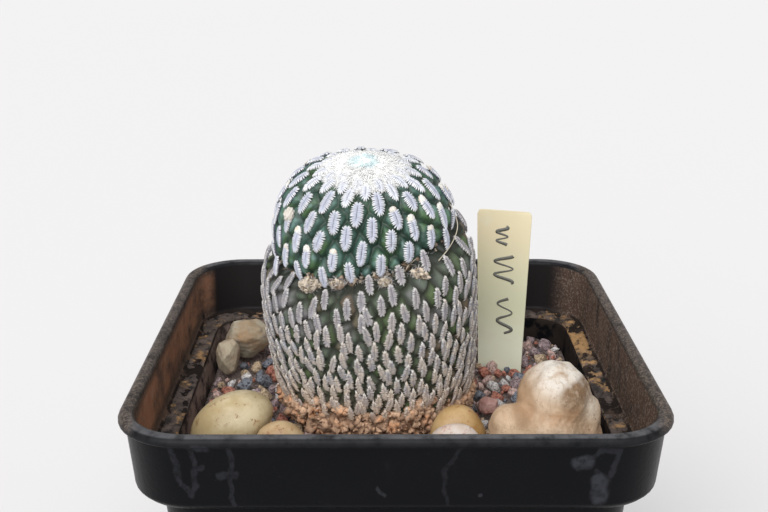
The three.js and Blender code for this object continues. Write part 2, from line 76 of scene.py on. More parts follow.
# Plant
PLANT_X = -2.2
PLANT_Y = -2.0
LEAN = -0.07
ROOT_TIP = 34
BASE_TOP = 58.9
STEM_BOTTOM = 58.8
SHOULDER = 79.0
CAP_RADIUS = 12.5
DOME_RISE = 13.15
DOME_POWER = 2.6
WAIST = 80.8
WAIST_DEPTH = 0.7
WAIST_HALF = 0.9
SWELL = 2.3
SWELL_FALL = 2.0
GOLDEN_ANGLE = -math.radians(137.5077)
FORWARD = 4.5  # the growing point lies this far forward of the dome's top
CROWN_REACH = 6.1  # along the skin from the growing point to the edge of the felt
WOOL_OVER = 4.2  # the combs nearer than this to the growing point are under the wool
YOUNG = 8  # the combs nearer than this are the youngest
COMB_GROOVE = 0.035  # half-width of the gap between the two rows of a comb

# Label
LABEL_X = 17.75
LABEL_Y = 16.4
LABEL_TOP = 79.1
LABEL_FOOT = 34.0
LABEL_HALF = 4.35
LABEL_THICK = 0.6
LABEL_TURN = -0.28
LABEL_NORMAL = np.array([-math.sin(LABEL_TURN), math.cos(LABEL_TURN), 0])


# Meshes

def link(name, data):
    thing = bpy.data.objects.new(name, data)
    bpy.context.scene.collection.objects.link(thing)
    return thing


def add_piece(name, points, faces, material, data=None, smooth=True):
    """A piece from points in millimetres. faces is an array, or a list of arrays of different
    widths. data holds up to three numbers for each point, which the material reads."""
    groups = faces if isinstance(faces, list) else [faces]
    sizes = np.concatenate([np.full(len(group), group.shape[1]) for group in groups])
    corners = np.concatenate([group.ravel() for group in groups])
    mesh = bpy.data.meshes.new(name)
    mesh.vertices.add(len(points))
    mesh.vertices.foreach_set("co", (np.asarray(points) * MM).ravel())
    mesh.loops.add(len(corners))
    mesh.loops.foreach_set("vertex_index", corners)
    mesh.polygons.add(len(sizes))
    mesh.polygons.foreach_set("loop_start", np.cumsum(sizes) - sizes)
    mesh.polygons.foreach_set("use_smooth", np.full(len(sizes), smooth))
    mesh.update(calc_edges=True)
    if data is not None:
        values = np.ones((len(points), 4))
        values[:, : data.shape[1]] = data
        layer = mesh.color_attributes.new("data", "FLOAT_COLOR", "POINT")
        layer.data.foreach_set("color", values.ravel())
    mesh.materials.append(material)
    piece = link(name, mesh)
    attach(piece, "root")
    return piece


def columns(*values):
    """Puts values side by side, and repeats single numbers to fit."""
    return np.stack(np.broadcast_arrays(*values), -1)


def unit(vectors):
    return vectors / np.linalg.norm(vectors, axis=-1, keepdims=True)


def around(count):
    """Angles an even step apart, once round."""
    return np.linspace(0, 2 * np.pi, count, endpoint=False)


def tube_faces(rows, cols):
    """Four-sided faces between rings of cols points."""
    i = np.arange(rows - 1)[:, None] * cols
    j = np.arange(cols)[None, :]
    k = (j + 1) % cols
    return columns(i + j, i + k, i + k + cols, i + j + cols).reshape(-1, 4)


def fan_faces(middle, ring, flip=False):
    """Triangles from one point to a closed ring of points."""
    after = np.roll(ring, -1)
    return columns(middle, after, ring) if flip else columns(middle, ring, after)


def closed_tube(rows, cols, flip=False):
    """Faces of a tube of rings, closed by two points that come after them."""
    tube = tube_faces(rows, cols)
    first = np.arange(cols)
    last = rows * cols
    ends = [fan_faces(last, first, not flip), fan_faces(last + 1, first + last - cols, flip)]
    return [tube[:, ::-1] if flip else tube, np.concatenate(ends)]


def stacked(rings, flip=False):
    """A closed mesh from equal rings, with a flat face across the first and the last."""
    cols = len(rings[0])
    ring = np.arange(cols)[None]
    faces = [tube_faces(len(rings), cols), ring[:, ::-1], ring + (len(rings) - 1) * cols]
    if flip:
        faces = [group[:, ::-1] for group in faces]
    return np.concatenate(rings), faces


def copies(points, faces, frames, origins):
    """Repeats a small mesh. Each copy has a 3 by 3 matrix of axes and an origin."""
    placed = np.einsum("mij,nj->mni", frames, points) + origins[:, None]
    shift = (np.arange(len(origins)) * len(points))[:, None, None]
    return placed.reshape(-1, 3), (faces + shift).reshape(-1, faces.shape[1])


def spikes(root, along, up, length, width, droop, rings=(0.0, 0.4, 0.75), flat=0.6, arch=0.0,
           taper=0.7):
    """Points and faces of tapered spikes that arch up, and then bow down towards their tips."""
    side = np.cross(along, up)
    stack = []
    for t in rings:
        rise = 4 * arch * t * (1 - t) - droop * t * t
        middle = root + along * (length * t)[:, None] + up * rise[:, None]
        half = (width * (1 - taper * t) / 2)[:, None]
        stack += [middle + side * half, middle + up * half * flat]
        stack += [middle - side * half, middle - up * half * flat]
    stack.append(root + along * length[:, None] - up * droop[:, None])
    points = np.stack(stack, 1)
    quads = np.concatenate([tube_faces(len(rings), 4), [[3, 2, 1, 0]]])
    tip = fan_faces(4 * len(rings), np.arange(4) + 4 * (len(rings) - 1))
    shift = (np.arange(len(root)) * points.shape[1])[:, None, None]
    spread = [(group + shift).reshape(-1, group.shape[1]) for group in (quads, tip)]
    return points.reshape(-1, 3), spread


def shreds(draw, root, along, lengths, widths, droop, *shape):
    """Spikes of random length and width, each turned any way about its run."""
    count = len(root)
    along = unit(along)
    up = unit(np.cross(along, draw.normal(size=(count, 3))))
    length = draw.uniform(*lengths, count)
    width = draw.uniform(*widths, count)
    return spikes(root, along, up, length, width, length * droop, *shape)


def join_faces(parts):
    """Joins several (points, faces) meshes. Faces are arrays or lists of arrays."""
    points = []
    groups = {}
    start = 0
    for place, faces in parts:
        for group in faces if isinstance(faces, list) else [faces]:
            groups.setdefault(group.shape[1], []).append(group + start)
        points.append(place)
        start += len(place)
    return np.concatenate(points), [np.concatenate(group) for group in groups.values()]


def mesh_arrays(shape):
    """The points and triangles of a bmesh, which is freed."""
    points = np.array([vertex.co[:] for vertex in shape.verts])
    faces = np.array([[vertex.index for vertex in face.verts] for face in shape.faces])
    shape.free()
    return points, faces


def ball(detail):
    """Points and triangles of a sphere of radius 1."""
    shape = bmesh.new()
    bmesh.ops.create_icosphere(shape, subdivisions=detail, radius=1)
    return mesh_arrays(shape)


def waves(points, *layers):
    """Smooth noise about 0. A layer has its height, the size of its features, how many waves
    make it up, and a seed."""
    total = np.zeros(len(points))
    for height, size, count, seed in layers:
        draw = np.random.default_rng(seed)
        layer = np.zeros(len(points))
        for _ in range(count):
            way = draw.normal(size=3)
            way *= 2 * np.pi / size / np.linalg.norm(way) * draw.uniform(0.6, 1.5)
            layer += np.sin(points @ way + draw.uniform(0, ANY_TURN))
        total += height * (layer / math.sqrt(count))
    return total


def lumpy(points, *layers):
    """Moves the points of a ball in and out by waves."""
    return points * (1 + waves(points, *layers))[:, None]


def random_frames(count, scales):
    """Turned axes, each stretched by its row of scales."""
    frames = np.linalg.qr(rng.normal(size=(count, 3, 3)))[0]
    return frames * scales[:, None, :]


def crumbs(origins, sizes, stretch, lumps):
    """Lumpy crumbs, with the ends of their ranges of size and stretch, turned any way."""
    count = len(origins)
    points, faces = ball(2)
    scales = rng.uniform(*sizes, (count, 1)) * rng.uniform(*stretch, (count, 3))
    return copies(lumpy(points, lumps), faces, random_frames(count, scales), origins)


# Materials

class Paint:
    """A material's node tree, with short calls for the nodes that are used here. Its colour is
    laid on in coats."""

    def __init__(self, name, **sockets):
        self.material = bpy.data.materials.new(name)
        self.material.use_nodes = True
        self.tree = self.material.node_tree
        self.shader = self.tree.nodes["Principled BSDF"]
        self.place = self.tree.nodes.new("ShaderNodeTexCoord").outputs["Object"]
        for socket, value in sockets.items():
            self.shader.inputs[socket.replace("_", " ")].default_value = value

    def put(self, socket, value):
        """Links an output, or sets a colour (a tuple) or another value."""
        if isinstance(value, bpy.types.NodeSocket):
            self.tree.links.new(value, socket)
        elif isinstance(value, tuple):
            socket.default_value = (*value, 1.0)
        else:
            socket.default_value = value

    def node(self, kind, inputs, output=0, **settings):
        """Adds a node and returns an output. inputs are in the sockets' order, or by their keys."""
        node = self.tree.nodes.new("ShaderNode" + kind)
        for setting, value in settings.items():
            setattr(node, setting, value)
        for key, value in inputs.items() if isinstance(inputs, dict) else enumerate(inputs):
            self.put(node.inputs[key], value)
        return node.outputs[output]

    def noise(self, size, detail=3.0, roughness=0.55, stretch=(1, 1, 1)):
        """Noise from 0 to 1, with features about size millimetres across."""
        scale = [1000 / size / s for s in stretch]
        place = self.node("Mapping", {"Vector": self.place, "Scale": scale})
        inputs = {"Vector": place, "Scale": 1.0, "Detail": detail, "Roughness": roughness}
        return self.node("TexNoise", inputs, "Fac")

    def math(self, kind, *values):
        """Takes the values two by two, from the first on."""
        return reduce(lambda a, b: self.node("Math", (a, b), operation=kind), values)

    def times(self, *values):
        return self.math("MULTIPLY", *values)

    def plus(self, *values):
        return self.math("ADD", *values)

    def most(self, *values):
        return self.math("MAXIMUM", *values)

    def span(self, value, low, high, out_low=0.0, out_high=1.0):
        """Brings value from low..high to out_low..out_high, with soft ends."""
        inputs = (value, low, high, out_low, out_high)
        return self.node("MapRange", inputs, interpolation_type="SMOOTHSTEP")

    def cloud(self, noise, *span):
        """Patches of noise, given as its size, detail, roughness and stretch, with soft edges."""
        return self.span(self.noise(*noise), *span)

    def near(self, value, centre, half):
        """1 where value, in metres, is at centre, falling to 0 half a width away (millimetres)."""
        off = self.node("Math", (self.math("SUBTRACT", value, centre * MM),), operation="ABSOLUTE")
        return self.span(off, 0.0, half * MM, 1.0, 0.0)

    def mix(self, factor, a, b):
        return self.node("Mix", {"Factor": factor, 6: a, 7: b}, 2, data_type="RGBA")

    def coat(self, colour, *factors):
        """Lays a colour over what is there, as far as the product of the factors goes."""
        self.colour = self.mix(self.times(*factors), self.colour, colour)

    def vector(self, kind, inputs, output=0):
        return self.node("VectorMath", inputs, output, operation=kind)

    def axes(self):
        """The three coordinates, in metres."""
        return self.node("SeparateXYZ", (self.place,), slice(None))

    def data(self):
        """The three numbers that each point of the mesh carries."""
        colour = self.node("Attribute", (), "Color", attribute_name="data")
        return self.node("SeparateColor", (colour,), slice(None))

    def finish(self, roughness, height=None, depth=0.1, strength=0.6):
        """depth is the height of the bumps in millimetres."""
        self.put(self.shader.inputs["Base Color"], self.colour)
        self.put(self.shader.inputs["Roughness"], roughness)
        if height is not None:
            bump = {"Strength": strength, "Distance": depth * MM, "Height": height}
            self.put(self.shader.inputs["Normal"], self.node("Bump", bump))
        return self.material


# Water marks: strength, half-width, and their route across the collar in X and Z
WATER_MARKS = [
    [0.5, 0.55, [(-27.5, 63.8), (-26.7, 61), (-26.4, 58.7), (-25.3, 57), (-24.5, 58.5), (-24.4, 61),
                 (-24.9, 63.7)]],
    [0.45, 0.5, [(-24.4, 60.9), (-23.5, 60.9)]],
    [0.7, 0.6, [(-24.3, 63.9), (-22.8, 63.7)]],
    [0.45, 0.4, [(-20.1, 63.7), (-20.1, 61.7), (-20.4, 59.6), (-20, 57.7), (-19.9, 55.6)]],
    [0.5, 0.7, [(-21.3, 59.7), (-19.8, 59.8)]],
    [0.3, 0.35, [(8, 63.8), (6.8, 62.1), (5.8, 60.5), (6, 58), (6.4, 55.6)]],
    [0.6, 0.35, [(-2.5, 57.9), (-1.5, 56.9)]],
    [0.7, 0.35, [(10, 57), (10.2, 57)]],
    [1.0, 1.1, [(21.9, 61.5), (23.2, 61.8)]],
    [0.5, 0.5, [(23.4, 61.8), (24.9, 63.3), (27, 63.3), (26.6, 61.5), (25.9, 59.6)]],
    [1.0, 1.5, [(24.6, 58.9), (24.8, 56.6)]],
    [0.4, 0.4, [(24, 60.4), (25.4, 59.4)]],
]


def far_from_line(paint, place, start, end):
    """Distance in metres from a place in the XZ plane to the line from start to end, in mm."""
    first = Vector((start[0] * MM, 0, start[1] * MM))
    run = Vector((end[0] * MM, 0, end[1] * MM)) - first
    off = paint.vector("SUBTRACT", (place, first))
    share = paint.vector("DOT_PRODUCT", (off, run / run.length_squared), 1)
    share = paint.math("MINIMUM", paint.most(share, 0.0), 1.0)
    along = paint.vector("SCALE", {0: run, "Scale": share})
    return paint.vector("LENGTH", (paint.vector("SUBTRACT", (off, along)),), 1)


def water_marks(paint):
    """Dried runs of water on the front of the collar, from 0 to 1."""
    x, y, z = paint.axes()
    stray = [paint.times(paint.math("SUBTRACT", paint.noise(size, 3), 0.5), 0.0016) for size in (2.5, 2.1)]
    place = paint.node("CombineXYZ", {0: paint.plus(x, stray[0]), 2: paint.plus(z, stray[1])})
    total = 0.0
    for share, half, route in WATER_MARKS:
        for start, end in zip(route, route[1:]):
            far = far_from_line(paint, place, start, end)
            total = paint.most(total, paint.span(far, half * 0.4 * MM, half * MM, share, 0.0))
    torn = paint.cloud((1.1, 4, 0.7), 0.28, 0.6, 0.25, 1.0)
    return paint.times(total, torn, paint.span(y, -0.0325, -0.0335))


def pot_material():
    """Satin black plastic: a worn bead with a painted highlight along its crest, dried water on the collar,
    brown scale inside.
    """
    paint = Paint("black_plastic", Specular_IOR_Level=0.075)
    x, y, z = paint.axes()
    inside, ledge, bead_wear_and_highlight = paint.data()
    mottle = paint.noise(9, 4)
    fine = paint.noise(0.5, 3)
    paint.colour = paint.mix(mottle, (0.002, 0.0022, 0.003), (0.004, 0.0043, 0.0056))
    dusty = paint.times(paint.cloud((2.6, 4, 0.6, (1, 1, 4.5)), 0.56, 0.74), paint.span(mottle, 0.45, 0.7))
    specks = paint.cloud((0.45, 2, 0.7), 0.69, 0.76)
    stain = paint.most(paint.times(dusty, 0.1), paint.times(specks, 0.25), water_marks(paint))
    paint.coat((0.03, 0.031, 0.037), stain)
    # the bead is scuffed grey along its top, partly a painted highlight line along its crest, and sandy
    # brown on its left and right runs
    side_run = paint.span(paint.node("Math", (x,), operation="ABSOLUTE"), 0.031, 0.0335)
    upper = paint.most(paint.span(z, 0.065, 0.06525), paint.span(z, 0.0638, 0.0648, 0, 0.15))
    upper = paint.most(upper, paint.times(side_run, paint.span(z, 0.0641, 0.0651)))
    front = paint.mix(paint.noise(2.2, 4), (0.07, 0.071, 0.078), (0.15, 0.15, 0.158))
    sandy = paint.cloud((0.3, 3, 0.7), 0.4, 0.65)
    sandy = paint.mix(sandy, (0.05, 0.043, 0.04), (0.2, 0.155, 0.125))
    scuff = paint.cloud((1.6, 4, 0.6), 0.15, 0.6)
    paint.coat(paint.mix(side_run, front, sandy), bead_wear_and_highlight, scuff, upper, 0.85)
    # brown scale inside, thick on the left wall and speckled on the right
    left = paint.span(x, -0.0305, -0.0322)
    right = paint.span(x, 0.0275, 0.032)
    inside = paint.times(inside, paint.span(z, 0.0555, 0.0563))
    paint.coat((0.016, 0.014, 0.0145), inside)
    scale = paint.cloud((3.2, 5, 0.65, (1, 1, 2)), 0.28, 0.5)
    brown = paint.times(paint.most(left, paint.times(right, 0.9)), scale, inside)
    paint.coat(paint.mix(paint.noise(2.4, 4), (0.06, 0.042, 0.034), (0.145, 0.088, 0.064)), brown)
    band = paint.times(paint.near(z, 61.0, 4.6), paint.span(y, -0.031, -0.02))
    rust = paint.times(paint.cloud((6.0, 5, 0.65, (1, 1.3, 1)), 0.32, 0.58), paint.span(band, 0.1, 0.6))
    rusty = paint.mix(paint.noise(1.8, 4), (0.24, 0.1, 0.055), (0.36, 0.19, 0.115))
    paint.coat(rusty, rust, left, inside)
    sides = paint.most(paint.times(left, 0.4), paint.times(right, 0.85))
    paint.coat((0.25, 0.205, 0.17), paint.cloud((0.4, 4, 0.75), 0.48, 0.66), inside, sides)
    # a film of dried soil on the ledge, and mud on the wall under its left half
    crust = paint.mix(paint.noise(2.2, 4, 0.6), (0.008, 0.007, 0.007), (0.04, 0.029, 0.024))
    paint.coat(crust, ledge, paint.cloud((4, 4, 0.6), 0.4, 0.5))
    muddy = paint.cloud((2.4, 5, 0.65, (1, 1.5, 1)), 0.36, 0.62)
    muddy = paint.mix(muddy, (0.035, 0.028, 0.026), (0.27, 0.2, 0.17))
    paint.coat(muddy, ledge, paint.span(z, 0.0558, 0.0552), paint.span(x, 0.004, -0.012))
    dull = paint.most(brown, stain, ledge)
    roughness = paint.plus(paint.times(fine, 0.12), paint.span(dull, 0, 1, 0.3, 0.85))
    height = paint.plus(fine, paint.times(dull, paint.noise(0.6, 4, 0.7)))
    return paint.finish(roughness, height, depth=0.06, strength=0.4)


def skin_material():
    """Waxy green skin, deep green on the new growth, and grey-green with scurf on the old."""
    paint = Paint("stem_green")
    _, _, z = paint.axes()
    crease, age, chance = paint.data()
    blotch = paint.noise(2.2, 5, 0.6)
    tone = paint.span(blotch, 0.3, 0.7)
    old_growth = paint.span(age, 0.3, 0.6)
    paint.colour = paint.mix(tone, (0.022, 0.056, 0.042), (0.082, 0.165, 0.135))
    paint.coat((0.1, 0.19, 0.045), paint.cloud((3.2, 3), 0.48, 0.66), 0.55)
    paint.coat((0.17, 0.29, 0.265), paint.cloud((1.5, 4, 0.6), 0.48, 0.7), 0.7)
    fresh = paint.colour
    paint.colour = paint.mix(tone, (0.042, 0.068, 0.04), (0.12, 0.145, 0.105))
    paint.coat((0.2, 0.19, 0.2), paint.cloud((5.5, 3), 0.42, 0.6), paint.near(z, 73.5, 7))
    paint.coat((0.08, 0.125, 0.04), paint.span(chance, 0.72, 0.9, 0, 0.8))
    paint.coat((0.22, 0.14, 0.09), paint.span(chance, 0.1, 0.04, 0, 0.6))
    paint.colour = paint.mix(old_growth, fresh, paint.colour)
    paint.coat((0.22, 0.15, 0.09), paint.span(age, 0.7, 1.0), paint.span(blotch, 0.35, 0.6))
    # the creases between the tubercles are darkened: painted shade
    dark = paint.mix(old_growth, (0.008, 0.024, 0.012), (0.018, 0.02, 0.011))
    paint.coat(dark, crease, 0.85)
    # painted shade in the pinch, under the overhang of the cap
    paint.coat((0.016, 0.018, 0.011), paint.span(age, 0.05, 0.3), paint.span(age, 0.63, 0.52), 0.9)
    height = paint.plus(paint.noise(0.9, 3, 0.6), paint.times(paint.noise(0.28, 3, 0.6), 0.4))
    return paint.finish(paint.span(age, 0.2, 0.7, 0.45, 0.8), height, depth=0.14, strength=0.7)


def spine_material(name, root, tip, old):
    """Chalky spines. The first number of each point runs from root to tip, the second is age."""
    paint = Paint(name)
    reach, age, chance = paint.data()
    _, _, z = paint.axes()
    worn = paint.span(paint.plus(paint.noise(1.4, 3), paint.times(chance, 0.25)), 0.4, 0.8)
    paint.colour = paint.mix(paint.span(reach, 0.3, 0.9), root, tip)
    paint.coat(old, paint.span(age, 0.4, 1.0, 0.1, 0.8), worn)
    shade = paint.plus(0.72, paint.times(chance, 0.28))
    paint.colour = paint.mix(shade, (0.2, 0.18, 0.16), paint.colour)
    paint.coat((0.6, 0.4, 0.25), paint.span(z, 0.065, 0.0585, 0, 0.45))
    return paint.finish(0.6, paint.noise(0.12, 2, 0.6), depth=0.02, strength=0.4)


def crumb_material(name, dark, light, warm, grain=0.5):
    """Crumbly matter in two browns, with a warmer stain here and there."""
    paint = Paint(name)
    tone, warmth, chance = paint.data()
    paint.colour = paint.mix(paint.times(paint.plus(tone, chance), 0.5), dark, light)
    paint.coat(warm, paint.most(warmth, paint.cloud((2.2, 3), 0.52, 0.7)))
    paint.colour = paint.mix(paint.cloud((grain, 3, 0.7), 0.3, 0.52), dark, paint.colour)
    return paint.finish(0.92, paint.noise(grain * 0.6, 4, 0.7), depth=0.12, strength=0.8)


# Stones: base, light, stain, dark flecks, roughness and how strong the flecks are
STONE_COLOURS = {
    "cream": [(0.46, 0.36, 0.19), (0.62, 0.53, 0.34), (0.48, 0.31, 0.15), (0.22, 0.115, 0.05), 0.42, 0.8],
    "buff": [(0.44, 0.28, 0.13), (0.6, 0.46, 0.27), (0.42, 0.2, 0.08), (0.2, 0.1, 0.05), 0.5, 0.7],
    "yellow": [(0.38, 0.225, 0.075), (0.54, 0.375, 0.18), (0.42, 0.16, 0.04), (0.24, 0.1, 0.04), 0.4, 0.9],
    "pale": [(0.56, 0.46, 0.36), (0.74, 0.68, 0.62), (0.56, 0.36, 0.28), (0.36, 0.13, 0.1), 0.45, 0.6],
    "pink": [(0.42, 0.22, 0.19), (0.58, 0.36, 0.32), (0.4, 0.16, 0.12), (0.15, 0.09, 0.08), 0.6, 0.4],
    "grey": [(0.34, 0.22, 0.11), (0.42, 0.37, 0.27), (0.52, 0.28, 0.09), (0.15, 0.17, 0.2), 0.75, 0.85],
    "orange": [(0.34, 0.25, 0.18), (0.42, 0.38, 0.32), (0.5, 0.24, 0.07), (0.14, 0.1, 0.08), 0.75, 0.4],
    "tan": [(0.38, 0.29, 0.2), (0.5, 0.44, 0.32), (0.4, 0.24, 0.12), (0.15, 0.11, 0.09), 0.7, 0.4],
}


def stone_material(name):
    """Weathered pebble: soft clouds of colour, stains, and dark flecks."""
    base, light, stain, dark, roughness, flecks = STONE_COLOURS[name]
    paint = Paint(name + "_stone")
    cloud = paint.noise(4.5, 5, 0.6)
    grainy = paint.noise(0.35, 3, 0.7)
    paint.colour = paint.mix(paint.span(cloud, 0.35, 0.65), base, light)
    paint.coat(stain, paint.cloud((2.2, 5, 0.75), 0.56, 0.68), 0.8)
    paint.coat(dark, paint.cloud((1.1, 4, 0.8), 0.58, 0.66), flecks)
    paint.coat(dark, grainy, 0.25)
    rough = paint.span(cloud, 0.3, 0.7, roughness - 0.08, roughness + 0.1)
    return paint.finish(rough, grainy, depth=0.08, strength=0.6)


def knobby_material():
    """Tan stone: chalky on the right of its crown, partly a painted highlight on its top, pinkish below, an
    ochre stain in its dip, painted shade on its left flank.
    """
    paint = Paint("knobby_stone")
    x, _, z = paint.axes()
    cloud = paint.noise(3.0, 5, 0.6)
    paint.colour = paint.mix(paint.span(cloud, 0.3, 0.7), (0.4, 0.265, 0.16), (0.6, 0.45, 0.315))
    paint.coat((0.47, 0.3, 0.19), paint.span(z, 0.0605, 0.058, 0, 0.8))
    paint.coat((0.78, 0.56, 0.37), paint.near(x, 15.2, 3.4), paint.near(z, 59.5, 4.5))
    # chalky coating on the right of the crown, partly a painted highlight on its top
    chalk_and_top_highlight = paint.times(paint.span(z, 0.0635, 0.0665), paint.span(x, 0.0165, 0.0205))
    paint.coat((0.66, 0.61, 0.54), chalk_and_top_highlight, paint.span(cloud, 0.28, 0.5))
    dip = paint.span(paint.times(paint.near(z, 64.3, 2.8), paint.near(x, 23.9, 3.6)), 0.05, 0.4)
    paint.coat((0.2, 0.12, 0.062), dip, paint.cloud((1.8, 5, 0.7), 0.34, 0.56, 0.4, 1.0))
    saddle = paint.times(paint.near(x, 21, 5.5), paint.near(z, 62.2, 1.7))
    paint.coat((0.44, 0.25, 0.13), saddle, paint.span(cloud, 0.62, 0.42, 0.35, 1.0))
    # a pale patch on the right knob, partly paler stone and partly a painted highlight
    paint.coat((0.66, 0.57, 0.46), paint.near(x, 26, 2), paint.near(z, 62.6, 2.6), 0.9)
    # the left flank under the dome is darkened: painted shade
    painted_flank_shade = paint.times(paint.near(x, 16.7, 2.3), paint.near(z, 63.4, 3.8))
    paint.coat((0.36, 0.22, 0.12), paint.span(painted_flank_shade, 0.02, 0.5, 0, 0.75))
    paint.coat((0.36, 0.24, 0.15), paint.cloud((0.6, 4, 0.75, (1, 1, 2.5)), 0.48, 0.68), 0.5)
    specks = paint.cloud((0.6, 2, 0.7), 0.64, 0.71)
    paint.coat((0.13, 0.08, 0.05), specks, paint.span(x, 0.0225, 0.026, 0.35, 0.85))
    return paint.finish(0.66, paint.noise(0.32, 4, 0.7), depth=0.12, strength=0.8)


def grain_material(name, base, light):
    """Porous gravel in one colour family."""
    paint = Paint(name)
    paint.colour = paint.mix(paint.noise(1.3, 4), base, light)
    pores = paint.cloud((0.35, 3, 0.7), 0.35, 0.55)
    paint.colour = paint.mix(pores, tuple(0.45 * value for value in base), paint.colour)
    return paint.finish(0.9, pores, depth=0.12, strength=0.8)


def label_material():
    """Sun-bleached plastic, cream at its top and grey-green near the soil."""
    paint = Paint("label_plastic")
    _, _, z = paint.axes()
    paint.colour = paint.mix(paint.span(z, 0.054, 0.064), (0.85, 0.88, 0.7), (0.71, 0.71, 0.5))
    paint.coat((0.77, 0.68, 0.455), paint.span(z, 0.064, 0.0765))
    paint.coat((0.77, 0.74, 0.58), paint.cloud((3, 4), 0.55, 0.75, 0.0, 0.5))
    return paint.finish(0.55, paint.noise(0.4, 3), depth=0.02, strength=0.3)


def plain_material(name, colour, light, roughness=0.9, size=1.0, depth=0.05):
    """Two tones in soft patches."""
    paint = Paint(name)
    paint.colour = paint.mix(paint.noise(size, 4), colour, light)
    return paint.finish(roughness, paint.noise(size * 0.4, 3), depth=depth)


# The plant's skin, measured down from the growing point

def meridian():
    """Distance along the stem's outline from the top of the dome, with its radius and height."""
    a = np.linspace(0, np.pi / 2, 400)
    r = CAP_RADIUS * np.sin(a) ** (2 / DOME_POWER)
    z = SHOULDER + DOME_RISE * np.maximum(np.cos(a), 0) ** (2 / DOME_POWER)
    side_z = np.append(np.arange(SHOULDER - 0.25, STEM_BOTTOM, -0.25), STEM_BOTTOM)
    side_r = np.interp(side_z, [STEM_BOTTOM, 62, 69, 75], [11.4, 11.8, 12.35, CAP_RADIUS])
    r = np.concatenate([r, side_r])
    z = np.concatenate([z, side_z])
    s = np.concatenate([[0], np.cumsum(np.hypot(np.diff(r), np.diff(z)))])
    return s, r, z


ARC, ARC_R, ARC_Z = meridian()
SIDE_LENGTH = ARC[-1]


def radius_at(s):
    return np.interp(s, ARC, ARC_R)


def height_at(s):
    return np.interp(s, ARC, ARC_Z)


def waist_height(theta):
    return WAIST + 2.4 * np.cos(theta) + 2.5 * np.sin(theta)


def swell(theta, z):
    """Extra radius: a groove at the pinch, and the wider old growth under it."""
    under = waist_height(theta) - z
    groove = WAIST_DEPTH * np.exp(-((under / WAIST_HALF) ** 2))
    return SWELL * (1 - np.exp(-np.maximum(under, 0) / SWELL_FALL)) - groove


def axis_x(z):
    return PLANT_X + LEAN * (np.minimum(z, SHOULDER) - GRAVEL_TOP)


def on_plant(theta, radius, z):
    """Points round the plant's leaning axis."""
    return columns(axis_x(z) + radius * np.cos(theta), PLANT_Y + radius * np.sin(theta), z)


def pattern_to_skin(theta, s):
    """The pattern starts at the growing point, forward of the dome's top, and evens out further
    down. Turns a place in the pattern into the angle and the way down the meridian."""
    slide = FORWARD * (1 - np.minimum(s / SIDE_LENGTH, 1))
    across = s * np.cos(theta)
    back = s * np.sin(theta) - slide
    return np.arctan2(back, across), np.hypot(across, back)


def below_pinch(theta, s):
    angle, way = pattern_to_skin(theta, s)
    return waist_height(angle) - height_at(way)


def skin_point(theta, s, lift):
    """Points at an angle and a way down the pattern, lifted off the skin."""
    angle, way = pattern_to_skin(theta, s)
    step = 0.2
    dr = radius_at(way + step) - radius_at(way - step)
    dz = height_at(way + step) - height_at(way - step)
    size = np.maximum(np.hypot(dr, dz), 1e-6)
    z = height_at(way)
    radius = np.maximum(radius_at(way) - dz / size * lift + swell(angle, z), 0)
    return on_plant(angle, radius, z + dr / size * lift)


def skin_top(s, lift):
    """One point beside the growing point."""
    return skin_point(np.zeros(1), np.full(1, s), lift)


def skin_frames(theta, s, turn):
    """Unit vectors across, down and out of the skin, turned about the last."""
    low = np.maximum(s - 1.2, 0.05)
    down = unit(skin_point(theta, low + 2.4, 0) - skin_point(theta, low, 0))
    angle = 0.6 / np.maximum(s, 1)
    across = unit(skin_point(theta + angle, s, 0) - skin_point(theta - angle, s, 0))
    out = unit(np.cross(down, across))
    across = np.cross(out, down)
    c = np.cos(turn)[:, None]
    k = np.sin(turn)[:, None]
    return across * c + down * k, down * c - across * k, out


# Skin area of one tubercle: tiny at the crown, widest on the dome, crowded in the old growth
CELL_ARC = [0, 4, 6, 8, 11, 19, 22, 26, 30, 35, 41]
CELL_AREA = [1.3, 1.8, 4.4, 8.8, 11.6, 11, 5.6, 4.9, 3.6, 2.5, 2.0]


def areoles():
    """Angle and way down of every areole: the golden angle, less regular on the old growth."""
    step = 0.02
    s = np.arange(step / 2, SIDE_LENGTH, step)
    count = np.cumsum(2 * np.pi * radius_at(s) * step / np.interp(s, CELL_ARC, CELL_AREA))
    number = np.arange(1, int(count[-1]) + 1)
    way = s[np.searchsorted(count, number)]
    stray = np.interp(way, [7, 12, 20, 26], [0, 0.18, 0.22, 0.3])
    theta = number * GOLDEN_ANGLE + rng.normal(0, 1, len(way)) * stray / radius_at(way)
    return theta, way + rng.normal(0, 1, len(way)) * stray


THETA, DOWN = areoles()
CHANCE = rng.uniform(size=len(THETA))
TILT = rng.normal(0, 1, len(THETA))
PITCH = rng.normal(0, 1, len(THETA))


def relief(theta, s):
    """Height of the tubercles on the skin, how deep in a crease each point is, and which
    tubercle it belongs to."""
    radius = radius_at(s)[:, None]
    turn = (theta[:, None] - THETA[None] + np.pi) % (2 * np.pi) - np.pi
    squash = np.interp(s, [8, 22, 30], [0.62, 0.62, 0.75])[:, None]
    far = np.hypot(turn * radius, (s[:, None] - DOWN[None]) * squash)
    order = np.argpartition(far, 1, axis=1)[:, :2]
    two = np.take_along_axis(far, order, 1)
    first = two.min(1)
    gap = two.max(1) - first
    owner = np.where(two[:, 0] <= two[:, 1], order[:, 0], order[:, 1])
    crease = np.exp(-((gap / 0.55) ** 2))
    tall = np.interp(s, [6, 12, 22, 30, 42], [0.3, 0.9, 0.95, 0.7, 0.4])
    dome = np.clip(1 - (first / 1.9) ** 2, 0, 1)
    return tall * (dome - 0.5 - 0.5 * crease), crease, owner


